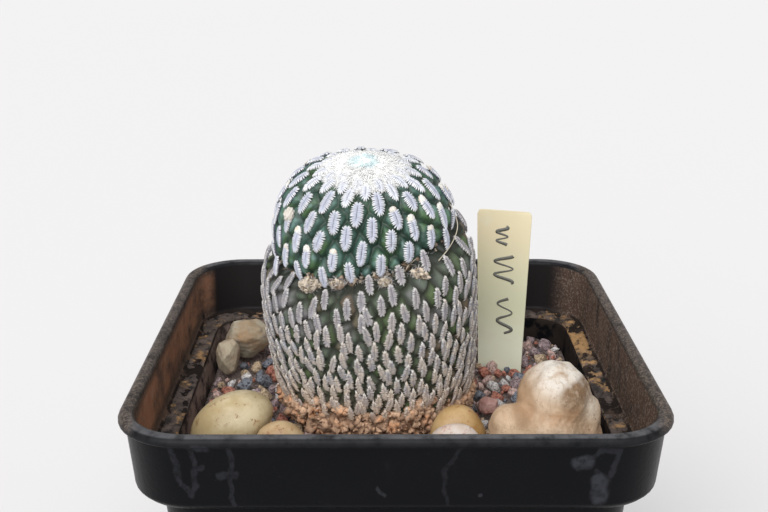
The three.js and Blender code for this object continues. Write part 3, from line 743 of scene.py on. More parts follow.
def stem_skin(material):
    """The green stem with its tubercles, closed at the growing point and at its foot."""
    rows, cols = 200, 340
    theta = around(cols)
    points = []
    data = []
    for way in np.linspace(0.4, SIDE_LENGTH, rows):
        along = np.full(cols, way)
        lift, crease, owner = relief(theta, along)
        fade = min(1.0, (SIDE_LENGTH - way) / 1.5)
        points.append(skin_point(theta, along, lift * fade))
        age = np.interp(below_pinch(theta, along), [-1.2, 1.8, 12, 22], [0.0, 0.62, 0.72, 1.0])
        data.append(columns(crease, age, CHANCE[owner]))
    points += [skin_top(0.1, 0.2), on_plant(0, 0, STEM_BOTTOM)[None]]
    data.append([[0, 0, 0.5], [0, 1, 0.5]])
    return add_piece("stem_skin", np.concatenate(points), closed_tube(rows, cols, True), material,
                     np.concatenate(data))


# Spine combs

def comb_half_length(s):
    return np.interp(s, [0, 3, 6, 9, 19, 22, 28, 36], [1.5, 2.2, 2.8, 3.4, 3.3, 3.2, 3.2, 2.9]) / 2


def comb_half_width(s):
    widths = [0.9, 1.5, 1.8, 1.85, 1.75, 1.6, 1.45, 1.3, 1.3]
    return np.interp(s, [0, 3, 6, 9, 13, 18, 20, 28, 36], widths) / 2


def oldness(theta, s):
    """0 on the new growth and on its way to 1 down the old growth."""
    below = below_pinch(theta, s)
    return np.where(below < 0, 0.0, np.interp(below, [0, 3, 9, 16], [0.4, 0.5, 0.8, 1.0]))


def comb_frames(chosen):
    """Place and axes of each chosen comb, on top of its tubercle."""
    theta = THETA[chosen]
    s = DOWN[chosen]
    old = oldness(theta, s)
    turn = TILT[chosen] * np.interp(s, [8, 20, 34], [0.06, 0.1, 0.12])
    across, down, out = skin_frames(theta, s, turn)
    # the combs at the crown stand up, and those of the old growth tip outwards at their tops
    pitch = np.interp(s, [3, 6, 10], [0.2, 0.04, 0.0]) + old * 0.24
    pitch = (pitch + PITCH[chosen] * 0.05)[:, None]
    c, k = np.cos(pitch), np.sin(pitch)
    down, out = down * c - out * k, out * c + down * k
    middle = skin_point(theta, s, relief(theta, s)[0] + 0.08 + 0.2 * old)
    # where the skin bends inwards, the comb is lifted so that no end dips under it
    chord = (skin_point(theta, s - 1.2, 0) + skin_point(theta, s + 1.2, 0)) / 2
    sunk = np.einsum("ij,ij->i", chord - skin_point(theta, s, 0), out)
    return middle + out * np.clip(sunk, 0, 1)[:, None] * 1.6, across, down, out


def comb_copies(points, faces, chosen, scales, up, raised):
    """Copies of a small mesh on the chosen combs, scaled along their axes."""
    middle, across, down, out = comb_frames(chosen)
    frames = np.stack([across, down, out], -1) * scales[:, None, :]
    return copies(points, faces, frames, middle - down * np.reshape(raised, (-1, 1)) + out * up)


def combs(name, wanted, spacing, rings, material):
    """Combs: a row of spines down each side of a long areole, close together and fanned out at
    both ends. On the old growth they hang like ragged thatch below a pale point."""
    chosen = np.flatnonzero(wanted)
    middle, across, down, out = comb_frames(chosen)
    parts = []
    data = []
    for i, areole in enumerate(chosen):
        s = DOWN[areole]
        old = float(oldness(THETA[areole], s))
        reach = comb_half_width(s) * rng.uniform(0.92, 1.08)
        half = comb_half_length(s) * rng.uniform(0.9, 1.1)
        line = half - (0.6 + 0.1 * old) * reach
        count = max(6, round(2 * line / spacing) + 4)
        t = np.linspace(-1, 1, count)
        t = np.repeat(t * (1.25 - 0.25 * t * t), 2)
        side = np.tile([-1.0, 1.0], count)
        fresh = np.sign(t) * np.abs(t) ** 3 * 1.25 + 0.12
        thatch = np.interp(t, [-1, -0.8, -0.4, 0.3, 1], [-1.5, -0.6, 0.1, 0.4, 1.0])
        fan = fresh * (1 - old) + thatch * old + rng.normal(0, 0.05 + 0.13 * old, len(t))
        way = across[i] * (side * np.cos(fan))[:, None] + down[i] * np.sin(fan)[:, None]
        bow = 0.22 - 0.18 * t * t
        groove = COMB_GROOVE * (1 - 0.9 * old * old)
        place = middle[i] + down[i] * (t * line)[:, None] + out[i] * bow[:, None]
        place += across[i] * (side * groove)[:, None]
        fresh = np.interp(t, [-1, -0.75, 0.5, 1], [0.65, 0.95, 1.0, 0.85])
        thatch = np.interp(t, [-1, -0.8, -0.2, 0.5, 1], [0.75, 0.65, 0.95, 1.05, 0.95])
        length = reach * (fresh * (1 - old) + thatch * old) - groove
        length = length * rng.uniform(0.92 - 0.14 * old, 1.08 + 0.2 * old, len(t))
        up = np.broadcast_to(out[i], way.shape)
        width = np.full(len(t), spacing * (1.5 - 0.3 * old))
        droop = length * (0.28 + 0.25 * old) + np.interp(t, [-1, -0.8], [0.12, 0])
        parts.append(spikes(place, way, up, length, width, droop, rings, 0.7, 0.1, 0.62 - 0.12 * old))
        each = 4 * len(rings) + 1
        run = np.tile(np.append(np.repeat(rings, 4), 1.0), len(t))
        run = np.maximum(run, old * np.interp(t, [-1, -0.5], [1, 0]).repeat(each))
        tone = 0.35 * CHANCE[areole] + 0.65 * rng.uniform(size=len(t)).repeat(each)
        data.append(columns(run, old, tone))
    points, faces = join_faces(parts)
    return add_piece(name, points, faces, material, np.concatenate(data))


def comb_beds(material):
    """The narrow sunken areole down the middle of each comb, pale on the youngest and the old."""
    chosen = np.flatnonzero((DOWN >= WOOL_OVER) & CLEAR)
    s = DOWN[chosen]
    points, faces = ball(2)
    scales = columns(comb_half_width(s) * 0.7, comb_half_length(s) * 0.84, 0.2)
    placed, corners = comb_copies(points, faces, chosen, scales, -0.07, 0)
    old = oldness(THETA[chosen], s)
    young = np.maximum(np.interp(s, [5, 9], [0.9, 0.3]), np.interp(old, [0, 0.5], [0, 0.6]))
    data = columns(young, old, CHANCE[chosen]).repeat(len(points), 0)
    return add_piece("comb_beds", placed, corners, material, data)


# Withered flowers in the pinch: angle, size, and how far below the pinch it hangs
FLOWERS = {
    "dried_flower_left": [-2.16, 1.45, 0.4],
    "dried_flower_middle_left": [-1.85, 0.95, 0],
    "dried_flower_middle": [-1.37, 0.9, 0.8],
    "dried_flower_right": [-1.0, 1.35, 1.5],
}


def flower_middle(name):
    theta, _, below = FLOWERS[name]
    return on_plant(theta, CAP_RADIUS + 0.9, waist_height(theta) - below)


def near_flower(theta, s):
    close = np.zeros(len(theta), bool)
    places = skin_point(theta, s, 0)
    for name, (_, size, _) in FLOWERS.items():
        close |= np.linalg.norm(places - flower_middle(name), axis=1) < size + 0.5
    return close


CLEAR = ~near_flower(THETA, DOWN)
BIG_TUFT_PLACE = np.array([-14.1, -8.8, 86.3])
BIG_TUFT = np.linalg.norm(skin_point(THETA, DOWN - 1.5, 0) - BIG_TUFT_PLACE, axis=1).argmin()


def comb_wool(material):
    """Cream wool over the upper ends of some combs of the new growth, and one big tuft."""
    wanted = (DOWN > 10.5) & CLEAR & (CHANCE > 0.55) & (oldness(THETA, DOWN) == 0)
    chosen = np.flatnonzero(wanted | (np.arange(len(DOWN)) == BIG_TUFT))
    big = chosen == BIG_TUFT
    size = np.where(big, 0.8, np.interp(CHANCE[chosen], [0.55, 1], [0.3, 0.62]))
    points, faces = ball(4)
    points = lumpy(points, (0.16, 0.6, 12, 22), (0.1, 0.25, 14, 23))
    scales = columns(np.where(big, 0.85, 0.38 + size * 0.35), size * 1.15, np.where(big, 0.6, 0.13))
    raised = comb_half_length(DOWN[chosen]) * np.where(big, 0.4, 0.72)
    placed, corners = comb_copies(points, faces, chosen, scales, 0.1, raised)
    tone = np.repeat(CHANCE[chosen], len(points))
    return add_piece("comb_wool", placed, corners, material, columns(tone, 0, tone))


def dried_flower(name, material):
    """A shrivelled flower: a creased, folded lump wrapped in curled papery shreds."""
    theta, size, _ = FLOWERS[name]
    shape = [1.15, 0.8, 0.85]
    middle = flower_middle(name)
    points, faces = ball(5)
    folds = np.abs(waves(points, (1, 1.0, 7, 11 + len(name))))
    folds += 0.45 * np.abs(waves(points, (1, 0.45, 9, 12)))
    heart = points * (size * (0.62 + 0.2 * folds))[:, None] * shape + middle
    out = on_plant(theta, 1, 0) - on_plant(theta, 0, 0)
    count = 70
    way = unit(rng.normal(size=(count, 3)) * [1, 1, 0.7] + out * 0.3)
    along = unit(np.cross(way, rng.normal(size=(count, 3))))
    length = size * rng.uniform(0.5, 1.3, count)
    width = size * rng.uniform(0.06, 0.2, count)
    root = middle + way * shape * size * 0.72 - along * (length * 0.45)[:, None]
    rings = (0, 0.25, 0.5, 0.75, 0.95)
    scraps = spikes(root, along, way, length, width, length * 0.3, rings, 0.3, 0.3, 0.3)
    points, faces = join_faces([(heart, faces), scraps])
    bits = np.repeat(rng.uniform(size=count), len(scraps[0]) // count)
    # the heart is darker in the hollows of its folds, a painted shade; the shreds take random tones
    tone = np.concatenate([np.interp(folds, [0.1, 0.6], [0.1, 1]), bits])
    piece = add_piece(name + "_tuft", points, faces, material,
                      columns(tone, 0, 0.25 + 0.75 * tone))
    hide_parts(name)


def pinch_place(theta, stray, proud, draw):
    """Places along the pinch, this much proud of its skin."""
    z = waist_height(theta) - 0.15 + draw.normal(0, stray, len(theta))
    return on_plant(theta, CAP_RADIUS - 0.75 + proud, z)


def waist_scraps(material):
    """Crumbs and shreds of old flowers in the pinch, thickest in front."""
    count = 130
    theta = rng.normal(-1.65, 0.5, count)
    theta[: count // 3] = rng.uniform(0, ANY_TURN, count // 3)
    origins = pinch_place(theta, 0.35, rng.uniform(0.1, 0.75, count), rng)
    bits = crumbs(origins, (0.12, 0.36), (0.5, 1.4), (0.3, 0.8, 7, 21))
    scraps = 70
    theta = rng.normal(-1.7, 0.45, scraps)
    root = pinch_place(theta, 0.5, rng.uniform(0.4, 1.1, scraps), rng)
    along = rng.normal(size=(scraps, 3)) * [1, 1, 0.6]
    torn = shreds(rng, root, along, (0.5, 1.5), (0.08, 0.32), 0.5, (0, 0.35, 0.7), 0.15)
    bit_tone = np.repeat(rng.uniform(0, 0.7, count), len(bits[0]) // count)
    tone = np.append(bit_tone, np.repeat(rng.uniform(0.2, 1, scraps), len(torn[0]) // scraps))
    points, faces = join_faces([bits, torn])
    return add_piece("waist_scraps", points, faces, material, columns(tone, 0, tone))


def waist_wool(material):
    """Pale wool that frays out round the withered flowers and along the pinch between them."""
    draw = np.random.default_rng(71)
    each = 75
    between = 130
    roots = []
    ways = []
    for name, (theta, size, _) in FLOWERS.items():
        out = np.array([np.cos(theta), np.sin(theta), 0.0])
        way = unit(draw.normal(size=(each, 3)) + out * 0.15)
        roots.append(flower_middle(name) - out * 0.25 + way * [1.1, 0.8, 0.85] * size * 0.75)
        ways.append(way)
    theta = draw.normal(-1.6, 0.42, between)
    roots.append(pinch_place(theta, 0.5, draw.uniform(0.3, 0.85, between), draw))
    ways.append(np.zeros((between, 3)))
    root = np.concatenate(roots)
    count = len(root)
    along = np.concatenate(ways) + draw.normal(size=(count, 3)) * [0.8, 0.5, 0.6]
    points, faces = shreds(draw, root, along, (0.35, 1.05), (0.07, 0.17), 0.35, (0, 0.4, 0.75), 0.6, 0.2)
    tone = np.repeat(draw.uniform(0.1, 0.9, count), len(points) // count)
    data = columns(tone, tone * 0.7, tone)
    return add_piece("waist_wool", points, faces, material, data)


def crown_wool(material):
    """Felt over the growing point: a lumpy cushion under a flat pile of fine hairs."""
    rows, cols = 44, 110
    theta = around(cols)
    cushion = []
    for way in np.linspace(0.3, CROWN_REACH, rows):
        lift = 0.8 * (1 - (way / CROWN_REACH) ** 2) - 0.05
        cushion.append(skin_point(theta, np.full(cols, way), lift))
    cushion = np.concatenate([*cushion, skin_top(0.05, 0.75)])
    cushion[:, 2] += waves(cushion, (0.2, 1.5, 9, 31), (0.1, 0.5, 9, 32))
    faces = [tube_faces(rows, cols)[:, ::-1], fan_faces(rows * cols, np.arange(cols))]
    count = 7500
    theta = rng.uniform(0, ANY_TURN, count)
    way = CROWN_REACH * rng.uniform(0.01, 1, count) ** 0.55
    _, down, out = skin_frames(theta, way, rng.normal(0, 0.45, count))
    lean = rng.uniform(0.9, 1.5, count)[:, None]
    along = out * np.cos(lean) + down * np.sin(lean)
    up = out * np.sin(lean) - down * np.cos(lean)
    length = rng.uniform(0.35, 1.0, count)
    width = rng.uniform(0.08, 0.15, count)
    root = skin_point(theta, way, 0.72 * (1 - (way / CROWN_REACH) ** 2) + 0.05)
    hairs = spikes(root, along, up, length, width, length * 0.25, (0, 0.55), 1.0)
    points, faces = join_faces([(cushion, faces), hairs])
    # white, with a blue-green ring round the growing point and a cream spot on it
    middle = skin_top(0.05, 0.4)[0]
    off = np.linalg.norm((points - middle) * [1, 1, 0.5], axis=1) + waves(points, (0.4, 2.2, 7, 33))
    white = np.interp(off, [0.4, 0.9, 1.7, 2.8], [1.0, 0.1, 0.3, 1.0])
    cream = np.interp(np.linalg.norm(points - middle - [-0.4, 0.4, 0], axis=1), [0.3, 1.0], [0.6, 0])
    data = columns(0.3 + 0.7 * white, cream, 1.0)
    return add_piece("crown_wool", points, faces, material, data)


def pale_fibre(material):
    """One long dry thread caught on the right of the plant, in front of the old growth."""
    ends = np.array([[7.0, -3.0, 86.9], [8.4, -4.2, 84.7], [8.9, -5.2, 83.1], [8.5, -6.6, 82.0],
                     [7.7, -8.4, 81.1], [6.8, -9.9, 80.4], [5.9, -11.2, 79.8]])
    t = np.linspace(0, len(ends) - 1, 70)
    path = columns(*[np.interp(t, range(len(ends)), axis) for axis in ends.T])
    for _ in range(20):
        path[1:-1] = (path[:-2] + path[1:-1] + path[2:]) / 3
    along = unit(np.gradient(path, axis=0))
    side = unit(np.cross(along, [0.3, -1, 0.2]))
    up = np.cross(side, along)
    turn = around(6)[None, :, None]
    ring = side[:, None] * np.cos(turn) + up[:, None] * np.sin(turn)
    points = (path[:, None] + ring * 0.075).reshape(-1, 3)
    return add_piece("pale_fibre", points, tube_faces(len(path), 6), material)


# Base

BASE_Z = [ROOT_TIP, 38, 44, 48, 50, 51.6, 52.9, 54, 55.2, 56.4, 57.5, BASE_TOP]
BASE_R = [1.2, 3.2, 6, 8, 9.4, 9.8, 10.3, 11.7, 12.9, 13.5, 13.8, 13.4]
CRUMB_LOW = 51.8
CRUMB_HIGH = 58.3
CRUMB_KINDS = 6
CRUMBS_OF_A_KIND = 270


def cork_base(material):
    """Lumpy cork with the taproot below, set with crumbs where it shows."""
    rows, cols = 90, 150
    z = np.linspace(ROOT_TIP, BASE_TOP, rows)
    theta = around(cols)
    grid = on_plant(theta, np.interp(z, BASE_Z, BASE_R)[:, None], z[:, None]).reshape(-1, 3)
    lumps = waves(grid, (0.28, 2.2, 12, 41), (0.16, 0.9, 12, 42))
    grid[:, :2] += np.tile(columns(np.cos(theta), np.sin(theta)), (rows, 1)) * lumps[:, None]
    body = np.concatenate([grid, on_plant(0, 0, np.array([ROOT_TIP, BASE_TOP]))])
    parts = [(body, closed_tube(rows, cols))]
    tones = [np.full(len(body), 0.2)]
    count = CRUMBS_OF_A_KIND
    for kind in range(CRUMB_KINDS):
        theta = rng.uniform(0, 2 * np.pi, count)
        high = CRUMB_HIGH + 1.8 * np.clip(-np.sin(theta), 0, 1) + 0.7 * np.sin(theta * 5)
        z = CRUMB_LOW + (high - CRUMB_LOW) * rng.uniform(0, 1, count)
        radius = np.interp(z, [*BASE_Z[:-1], 60], [*BASE_R[:-1], 13.9])
        origins = on_plant(theta, radius + rng.uniform(-0.15, 0.4, count), z)
        parts.append(crumbs(origins, (0.25, 0.85), (0.55, 1.15), (0.45, 0.8, 8, 43 + kind)))
        tones.append(np.repeat(rng.uniform(size=count), len(parts[-1][0]) // count))
    points, faces = join_faces(parts)
    tone = np.concatenate(tones)
    data = columns(tone, 0, rng.uniform(0.3, 0.7, len(tone)))
    piece = add_piece("cork_base", points, faces, material, data)
    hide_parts("corky_base_and_root")


# Pot

def rounded_square(half, radius, z):
    """A ring of points round a square with rounded corners."""
    points = []
    for corner in range(4):
        sx = 1 if corner in (0, 3) else -1
        sy = 1 if corner < 2 else -1
        for a in (corner + np.linspace(0, 1, CORNER_STEPS + 1)) * np.pi / 2:
            x = sx * (half - radius) + radius * math.cos(a)
            y = sy * (half - radius) + radius * math.sin(a)
            points.append([x, y, z])
    return np.array(points)


def body_half(z):
    return BASE_HALF + (BODY_TOP_HALF - BASE_HALF) * z / COLLAR_BOTTOM


def inner_half(z):
    return body_half(z) - WALL


def inner_corner(half):
    return max(3.0, RIM_CORNER - (RIM_HALF - half) * 0.62)


def round_off(profile, steps=3):
    """Rounds each corner of a profile a little, keeping its long runs straight."""
    profile = np.array(profile)
    out = [profile[0]]
    for before, here, after in zip(profile, profile[1:], profile[2:]):
        size = min(0.35, np.linalg.norm(before - here) / 2.2, np.linalg.norm(after - here) / 2.2)
        start = here + unit(before - here) * size
        end = here + unit(after - here) * size
        for t in np.linspace(0, 1, steps + 1):
            out.append((1 - t) ** 2 * start + 2 * t * (1 - t) * here + t * t * end)
    out.append(profile[-1])
    return np.array(out)


def cutter(shape, x, y, z):
    """A cutting tool from a bmesh in metres, moved by millimetres."""
    bmesh.ops.translate(shape, verts=shape.verts, vec=(x * MM, y * MM, z * MM))
    mesh = bpy.data.meshes.new("cutter")
    shape.to_mesh(mesh)
    shape.free()
    return link("cutter", mesh)


def drain_cutter(radius, x, y):
    shape = bmesh.new()
    bmesh.ops.create_cone(shape, cap_ends=True, segments=40, radius1=radius * MM,
                          radius2=radius * MM, depth=8 * MM)
    return cutter(shape, x, y, FOOT)


def notch_cutter(x, y):
    """A notch in the foot ring, on the side that x and y point to."""
    shape = bmesh.new()
    bmesh.ops.create_cube(shape, size=MM)
    bmesh.ops.scale(shape, verts=shape.verts, vec=(4 if x else 9, 4 if y else 9, 2.8))
    return cutter(shape, x * BASE_HALF, y * BASE_HALF, 0)


def pot(material):
    """The pot as one moulding, with its drain holes and notches cut."""
    profile = round_off([
        [0.5, FOOT],
        [BASE_HALF - 1.5, FOOT],
        [BASE_HALF - 1.5, 0],
        [BASE_HALF - 0.2, 0],
        [body_half(0.6), 0.6],
        [body_half(COLLAR_BOTTOM), COLLAR_BOTTOM],
        [RIM_HALF - 2.3, COLLAR_BOTTOM],
        [RIM_HALF - 1.5, COLLAR_BOTTOM + 0.9],
        [RIM_HALF - 0.8, POT_HEIGHT - 1.5],
        [RIM_HALF, POT_HEIGHT - 1.2],
        [RIM_HALF, POT_HEIGHT - 0.5],
        [RIM_HALF - 0.5, POT_HEIGHT],
        [RIM_HALF - 1.4, POT_HEIGHT],
        [RIM_HALF - 1.9, POT_HEIGHT - 0.5],
        [RIM_HALF - 2.2, LEDGE + 0.8],
        [RIM_HALF - 2.8, LEDGE],
        [LEDGE_HALF + 0.4, LEDGE],
        [LEDGE_HALF, LEDGE - 0.5],
        [inner_half(FLOOR_TOP + 1.2), FLOOR_TOP + 1.2],
        [inner_half(FLOOR_TOP) - 1.2, FLOOR_TOP],
        [0.5, FLOOR_TOP],
    ])
    rings = [rounded_square(half, min(inner_corner(half), half * 0.98), z) for half, z in profile]
    points, faces = stacked(rings)
    row = np.arange(len(rings))
    z = profile[:, 1]
    top = np.argmax(z)
    inside = (row > top) & (z > 40) & (z < POT_HEIGHT - 0.7)
    ledge = (row > top) & (z > LEDGE - 1.5) & (z < LEDGE + 0.7)
    # the bead's wear, where the material also paints a highlight along its crest
    bead_wear_and_highlight = (z > POT_HEIGHT - 1.3) | ((row < top) & (z > POT_HEIGHT - 1.7))
    data = columns(inside, ledge, bead_wear_and_highlight).astype(float).repeat(len(rings[0]), 0)
    piece = add_piece("pot_moulding", points, faces, material, data)
    cutters = [drain_cutter(DRAIN_MIDDLE, 0, 0)]
    for x in (-DRAIN_SPREAD, DRAIN_SPREAD):
        cutters += [drain_cutter(DRAIN_OUTER, x, y) for y in (-DRAIN_SPREAD, DRAIN_SPREAD)]
    cutters += [notch_cutter(x, y) for x, y in ((1, 0), (0, 1), (-1, 0), (0, -1))]
    for tool in cutters:
        cut = piece.modifiers.new("cut", "BOOLEAN")
        cut.object = tool
        cut.operation = "DIFFERENCE"
        bpy.context.view_layer.objects.active = piece
        bpy.ops.object.modifier_apply(modifier="cut")
        bpy.data.objects.remove(tool)
    # the cuts put stray numbers on the points that they add, all of them low on the pot
    for vertex, entry in zip(piece.data.vertices, piece.data.color_attributes["data"].data):
        if vertex.co.z < COLLAR_BOTTOM * MM / 2:
            entry.color = (0, 0, 0, 1)
    piece.data.set_sharp_from_angle(angle=math.radians(38))
    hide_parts("pot")


def dense_ring(half, z, count):
    """A rounded square with its points an even step apart."""
    corners = rounded_square(half, inner_corner(half), z)
    corners = np.concatenate([corners, corners[:1]])
    run = np.concatenate([[0], np.cumsum(np.linalg.norm(np.diff(corners, axis=0), axis=1))])
    steps = np.linspace(0, run[-1], count, endpoint=False)
    return columns(*[np.interp(steps, run, axis) for axis in corners.T])


def ledge_crust(material):
    """Dried soil and lime on the ledge: a lumpy skin that dips under the plastic in places."""
    count = 560
    tops = np.linspace(CRUST_OUTER, CRUST_INNER, 10)
    rings = [dense_ring(half, LEDGE, count) for half in tops]
    rings += [dense_ring(half, LEDGE - 0.6, count) for half in (30.0, 32.2)]
    points = np.concatenate(rings)
    x, y, _ = points.T
    right = x > 24
    level = waves(points, (0.5, 8, 9, 51), (0.45, 2.4, 12, 52)) + CRUST_LEVEL
    level += np.where(y < -24, -0.5, 0) + np.where(right, 0.15, 0) + np.where((y > 12) & ~right, 0.3, 0)
    fine = waves(points, (0.1, 0.9, 12, 53), (0.07, 0.45, 12, 54))
    tone = 0.5 - np.where(right, 0.14, 0)
    top = len(tops) * count
    points[:top, 2] += (np.clip(level, -0.5, 0.6) * 0.7 + fine)[:top] - 0.1
    tone += waves(points, (0.45, 3.5, 9, 55))
    yellow_patch = np.clip(1.6 - np.hypot(x - 31, (y - 19) / 1.4) / 4, 0, 0.9)
    data = columns(tone, yellow_patch, rng.uniform(0.35, 0.65, len(points)))
    i = np.arange(len(rings))[:, None] * count
    after = np.roll(i, -1, axis=0)
    j = np.arange(count)[None, :]
    k = (j + 1) % count
    faces = columns(i + k, i + j, after + j, after + k).reshape(-1, 4)
    return add_piece("ledge_crust", points, faces, material, data)


# Stones, as in the CAD model: place, half-sizes, tilt, colours, slot, and whether it is broken
STONES = {
    "cream_pebble_large": [-22.6, -14.6, [6, 4.7, 4.3], 0.55, "cream", "cream_stone", False],
    "cream_pebble_small": [-15.1, -19.9, [3.6, 2.8, 3.9], 0, "buff", "cream_stone", False],
    "yellow_pebble": [8.5, -18.6, [3.8, 3.1, 4.7], 0, "yellow", "yellow_stone", False],
    "pale_pebble": [7.6, -25, [3.9, 2.7, 4.9], 0, "pale", "cream_stone", False],
    "pink_pebble": [14.3, -2, [1.6, 1.5, 1.4], 0, "pink", "pink_stone", True],
    "back_stone_pale": [-24.2, 20.4, [3.7, 3.3, 3.3], 0, "grey", "grey_stone", True],
    "back_stone_orange": [-16.6, 24.6, [3.3, 2.8, 3.4], 0, "orange", "orange_stone", True],
    "back_stone_tan": [-26.6, 13.4, [1.9, 2.6, 2.9], 0, "tan", "tan_stone", True],
}

# The knobby stone: middle and radius of each lobe, and how softly the lobes join
LOBES = np.array([[21.2, -18, 62.9, 4.85], [15, -21.2, 60.5, 2.6], [15.7, -21.6, 56.6, 3.6],
                  [25.3, -18.6, 60.8, 2.2], [24.4, -19, 56.8, 3.6], [20.3, -20.4, 57.8, 4.7]])
KNOBBY_MIDDLE = np.array([20, -19.4, 59.4])
LOBE_BLEND = 0.6


def pebble(name, x, y, half, tilt, colours, slot, broken):
    """A worn or broken stone that rests on the gravel."""
    points, faces = ball(5)
    seed = len(name) + int(abs(x * 10))
    if broken:
        cut = unit(np.random.default_rng(seed).normal(size=(16, 3)))
        reach = 0.86 / np.maximum(points @ cut.T, 0.01).max(1)
        points = points * np.minimum(reach, 1.05)[:, None]
        points = lumpy(points, (0.02, 0.3, 9, seed))
    else:
        points = lumpy(points, (0.035, 1.6, 7, seed))
    across, back, up = (points * half).T
    c, k = math.cos(tilt), math.sin(tilt)
    turned = columns(across * c - up * k, back, up * c + across * k)
    turned += [x, y, STONE_FLOOR - turned[:, 2].min()]
    piece = add_piece(name + "_surface", turned, faces, stone_material(colours))
    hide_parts(name)


def stone_field(points):
    """Below zero inside the knobby stone."""
    far = np.linalg.norm(points[:, None] - LOBES[None, :, :3], axis=2)
    return -LOBE_BLEND * np.log(np.exp((LOBES[:, 3] - far) / LOBE_BLEND).sum(1))


def knobby_stone(material):
    """Pushes the points of a ball out to the skin of the joined lobes, halving the range of
    each until it is found."""
    points, faces = ball(6)
    low = np.ones(len(points))
    high = np.full(len(points), 14.0)
    for _ in range(26):
        half = (low + high) / 2
        within = stone_field(KNOBBY_MIDDLE + points * half[:, None]) < 0
        low = np.where(within, half, low)
        high = np.where(within, high, half)
    placed = KNOBBY_MIDDLE + points * low[:, None]
    placed += points * waves(placed, (0.09, 2.6, 9, 61), (0.03, 0.8, 9, 62))[:, None]
    placed[:, 2] = np.maximum(placed[:, 2], STONE_FLOOR)
    piece = add_piece("knobby_stone_surface", placed, faces, material)
    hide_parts("knobby_stone")


# Label

def label_frame(across, up):
    """A point on the label's middle sheet, with its slight bow."""
    c, k = math.cos(LABEL_TURN), math.sin(LABEL_TURN)
    bow = 0.0002 * (up - 30) ** 2
    return columns(LABEL_X + across * c - bow * k, LABEL_Y + across * k + bow * c, LABEL_FOOT + up)


def label(material):
    """The plant label: a thin strip with a rounded head and a pointed foot."""
    height = LABEL_TOP - LABEL_FOOT
    rounding = [height - 0.8, height - 0.45, height - 0.15, height]
    ups = [0, 0.5, 3, 6, 9, 12, *np.linspace(14, rounding[0], 26), *rounding[1:]]
    halves = [0.6, *(LABEL_HALF * share for share in (0.78, 1, 0.985, 0.95, 0.88))]
    t = np.concatenate([np.linspace(-1, 1, 9), np.linspace(1, -1, 9)])
    depth = np.where(np.arange(18) < 9, -1, 1) * LABEL_THICK / 2 * np.where(abs(t) > 0.99, 0.6, 1)
    rows = []
    for up, half in zip(ups, np.interp(ups, [0, 12, *rounding], halves)):
        rows.append(label_frame(t * half, np.full(18, up)) + depth[:, None] * LABEL_NORMAL)
    points, faces = stacked(rows)
    piece = add_piece("plant_label_tag", points, faces, material)
    piece.data.set_sharp_from_angle(angle=math.radians(50))
    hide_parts("plant_label")


def label_strokes(material):
    """Plain pencil strokes: short waves and ticks that spell nothing."""
    parts = []
    for row, (start, length, swing) in enumerate([(24.5, 6, 1.2), (33.2, 4.6, 1.5), (39.6, 3, 0.9)]):
        t = np.linspace(0, 1, 60)
        across = swing * np.sin(t * 13 + row) + 0.6 - row * 0.4
        path = label_frame(across, start + t * length) - LABEL_NORMAL * (LABEL_THICK / 2 + 0.015)
        along = unit(np.gradient(path, axis=0))
        half = 0.2 + 0.08 * np.sin(t * 7 + row)
        edge = np.cross(along, LABEL_NORMAL) * half[:, None]
        thin = LABEL_NORMAL * 0.012
        rings = np.stack([path - edge - thin, path + edge - thin, path + edge + thin, path - edge + thin], 1)
        parts.append((rings.reshape(-1, 3), tube_faces(60, 4)))
    points, faces = join_faces(parts)
    return add_piece("label_strokes", points, faces, material)


# Gravel and soil

# Colour families of the gravel: share, dark and light tone
GRAVEL = {
    "gravel_red": [0.19, (0.37, 0.125, 0.085), (0.68, 0.31, 0.23)],
    "gravel_purple": [0.2, (0.27, 0.19, 0.2), (0.54, 0.42, 0.43)],
    "gravel_slate": [0.18, (0.12, 0.128, 0.155), (0.31, 0.335, 0.38)],
    "gravel_pink": [0.17, (0.58, 0.38, 0.335), (0.82, 0.61, 0.55)],
    "gravel_white": [0.14, (0.64, 0.61, 0.6), (0.88, 0.85, 0.83)],
    "gravel_tan": [0.12, (0.46, 0.32, 0.2), (0.7, 0.56, 0.39)],
}

# Chips that show in the photo: place, radius and family
CHIPS = [
    [-26.3, -7.6, 1.7, "gravel_red"],
    [-27.2, 1.2, 1.5, "gravel_red"],
    [-26.0, 6.7, 1.3, "gravel_red"],
    [-19.6, 14.4, 1.5, "gravel_red"],
    [-17.6, 5.5, 1.5, "gravel_white"],
    [-23.4, 8.6, 1.7, "gravel_slate"],
    [-20.4, 9.8, 1.6, "gravel_slate"],
    [-23.0, 3.8, 1.4, "gravel_purple"],
    [-14.2, -12.6, 1.6, "gravel_slate"],
    [15.9, 7.4, 1.5, "gravel_white"],
    [17.1, 13.0, 1.0, "gravel_red"],
    [19.9, 13.4, 1.1, "gravel_red"],
    [13.4, 4.2, 1.2, "gravel_slate"],
    [15.2, 10.2, 1.2, "gravel_pink"],
    [17.8, 9.8, 1.1, "gravel_white"],
    [18.6, 5.2, 1.3, "gravel_pink"],
]

# Room that the grains leave
CORNER_MIDDLE = 24.3  # middle and radius of the rounded corners inside the pot
CORNER_ROOM = 4.6
PLANT_ROOM = 10.4
LABEL_ROOM = [3.6, 0.4]
STONE_ROOM = 0.8  # share of a stone's half-size

# Loose grains: the ends of each range of radii, and how many places are tried
GRAIN_SIZES = [[1.1, 1.7, 2600], [0.75, 1.1, 6000], [0.4, 0.75, 14000]]
GRAIN_REACH = 29
GRAIN_SPACING = 0.84  # share of their radii at which two grains may stand
GRAIN_SEEDS = range(70, 78)


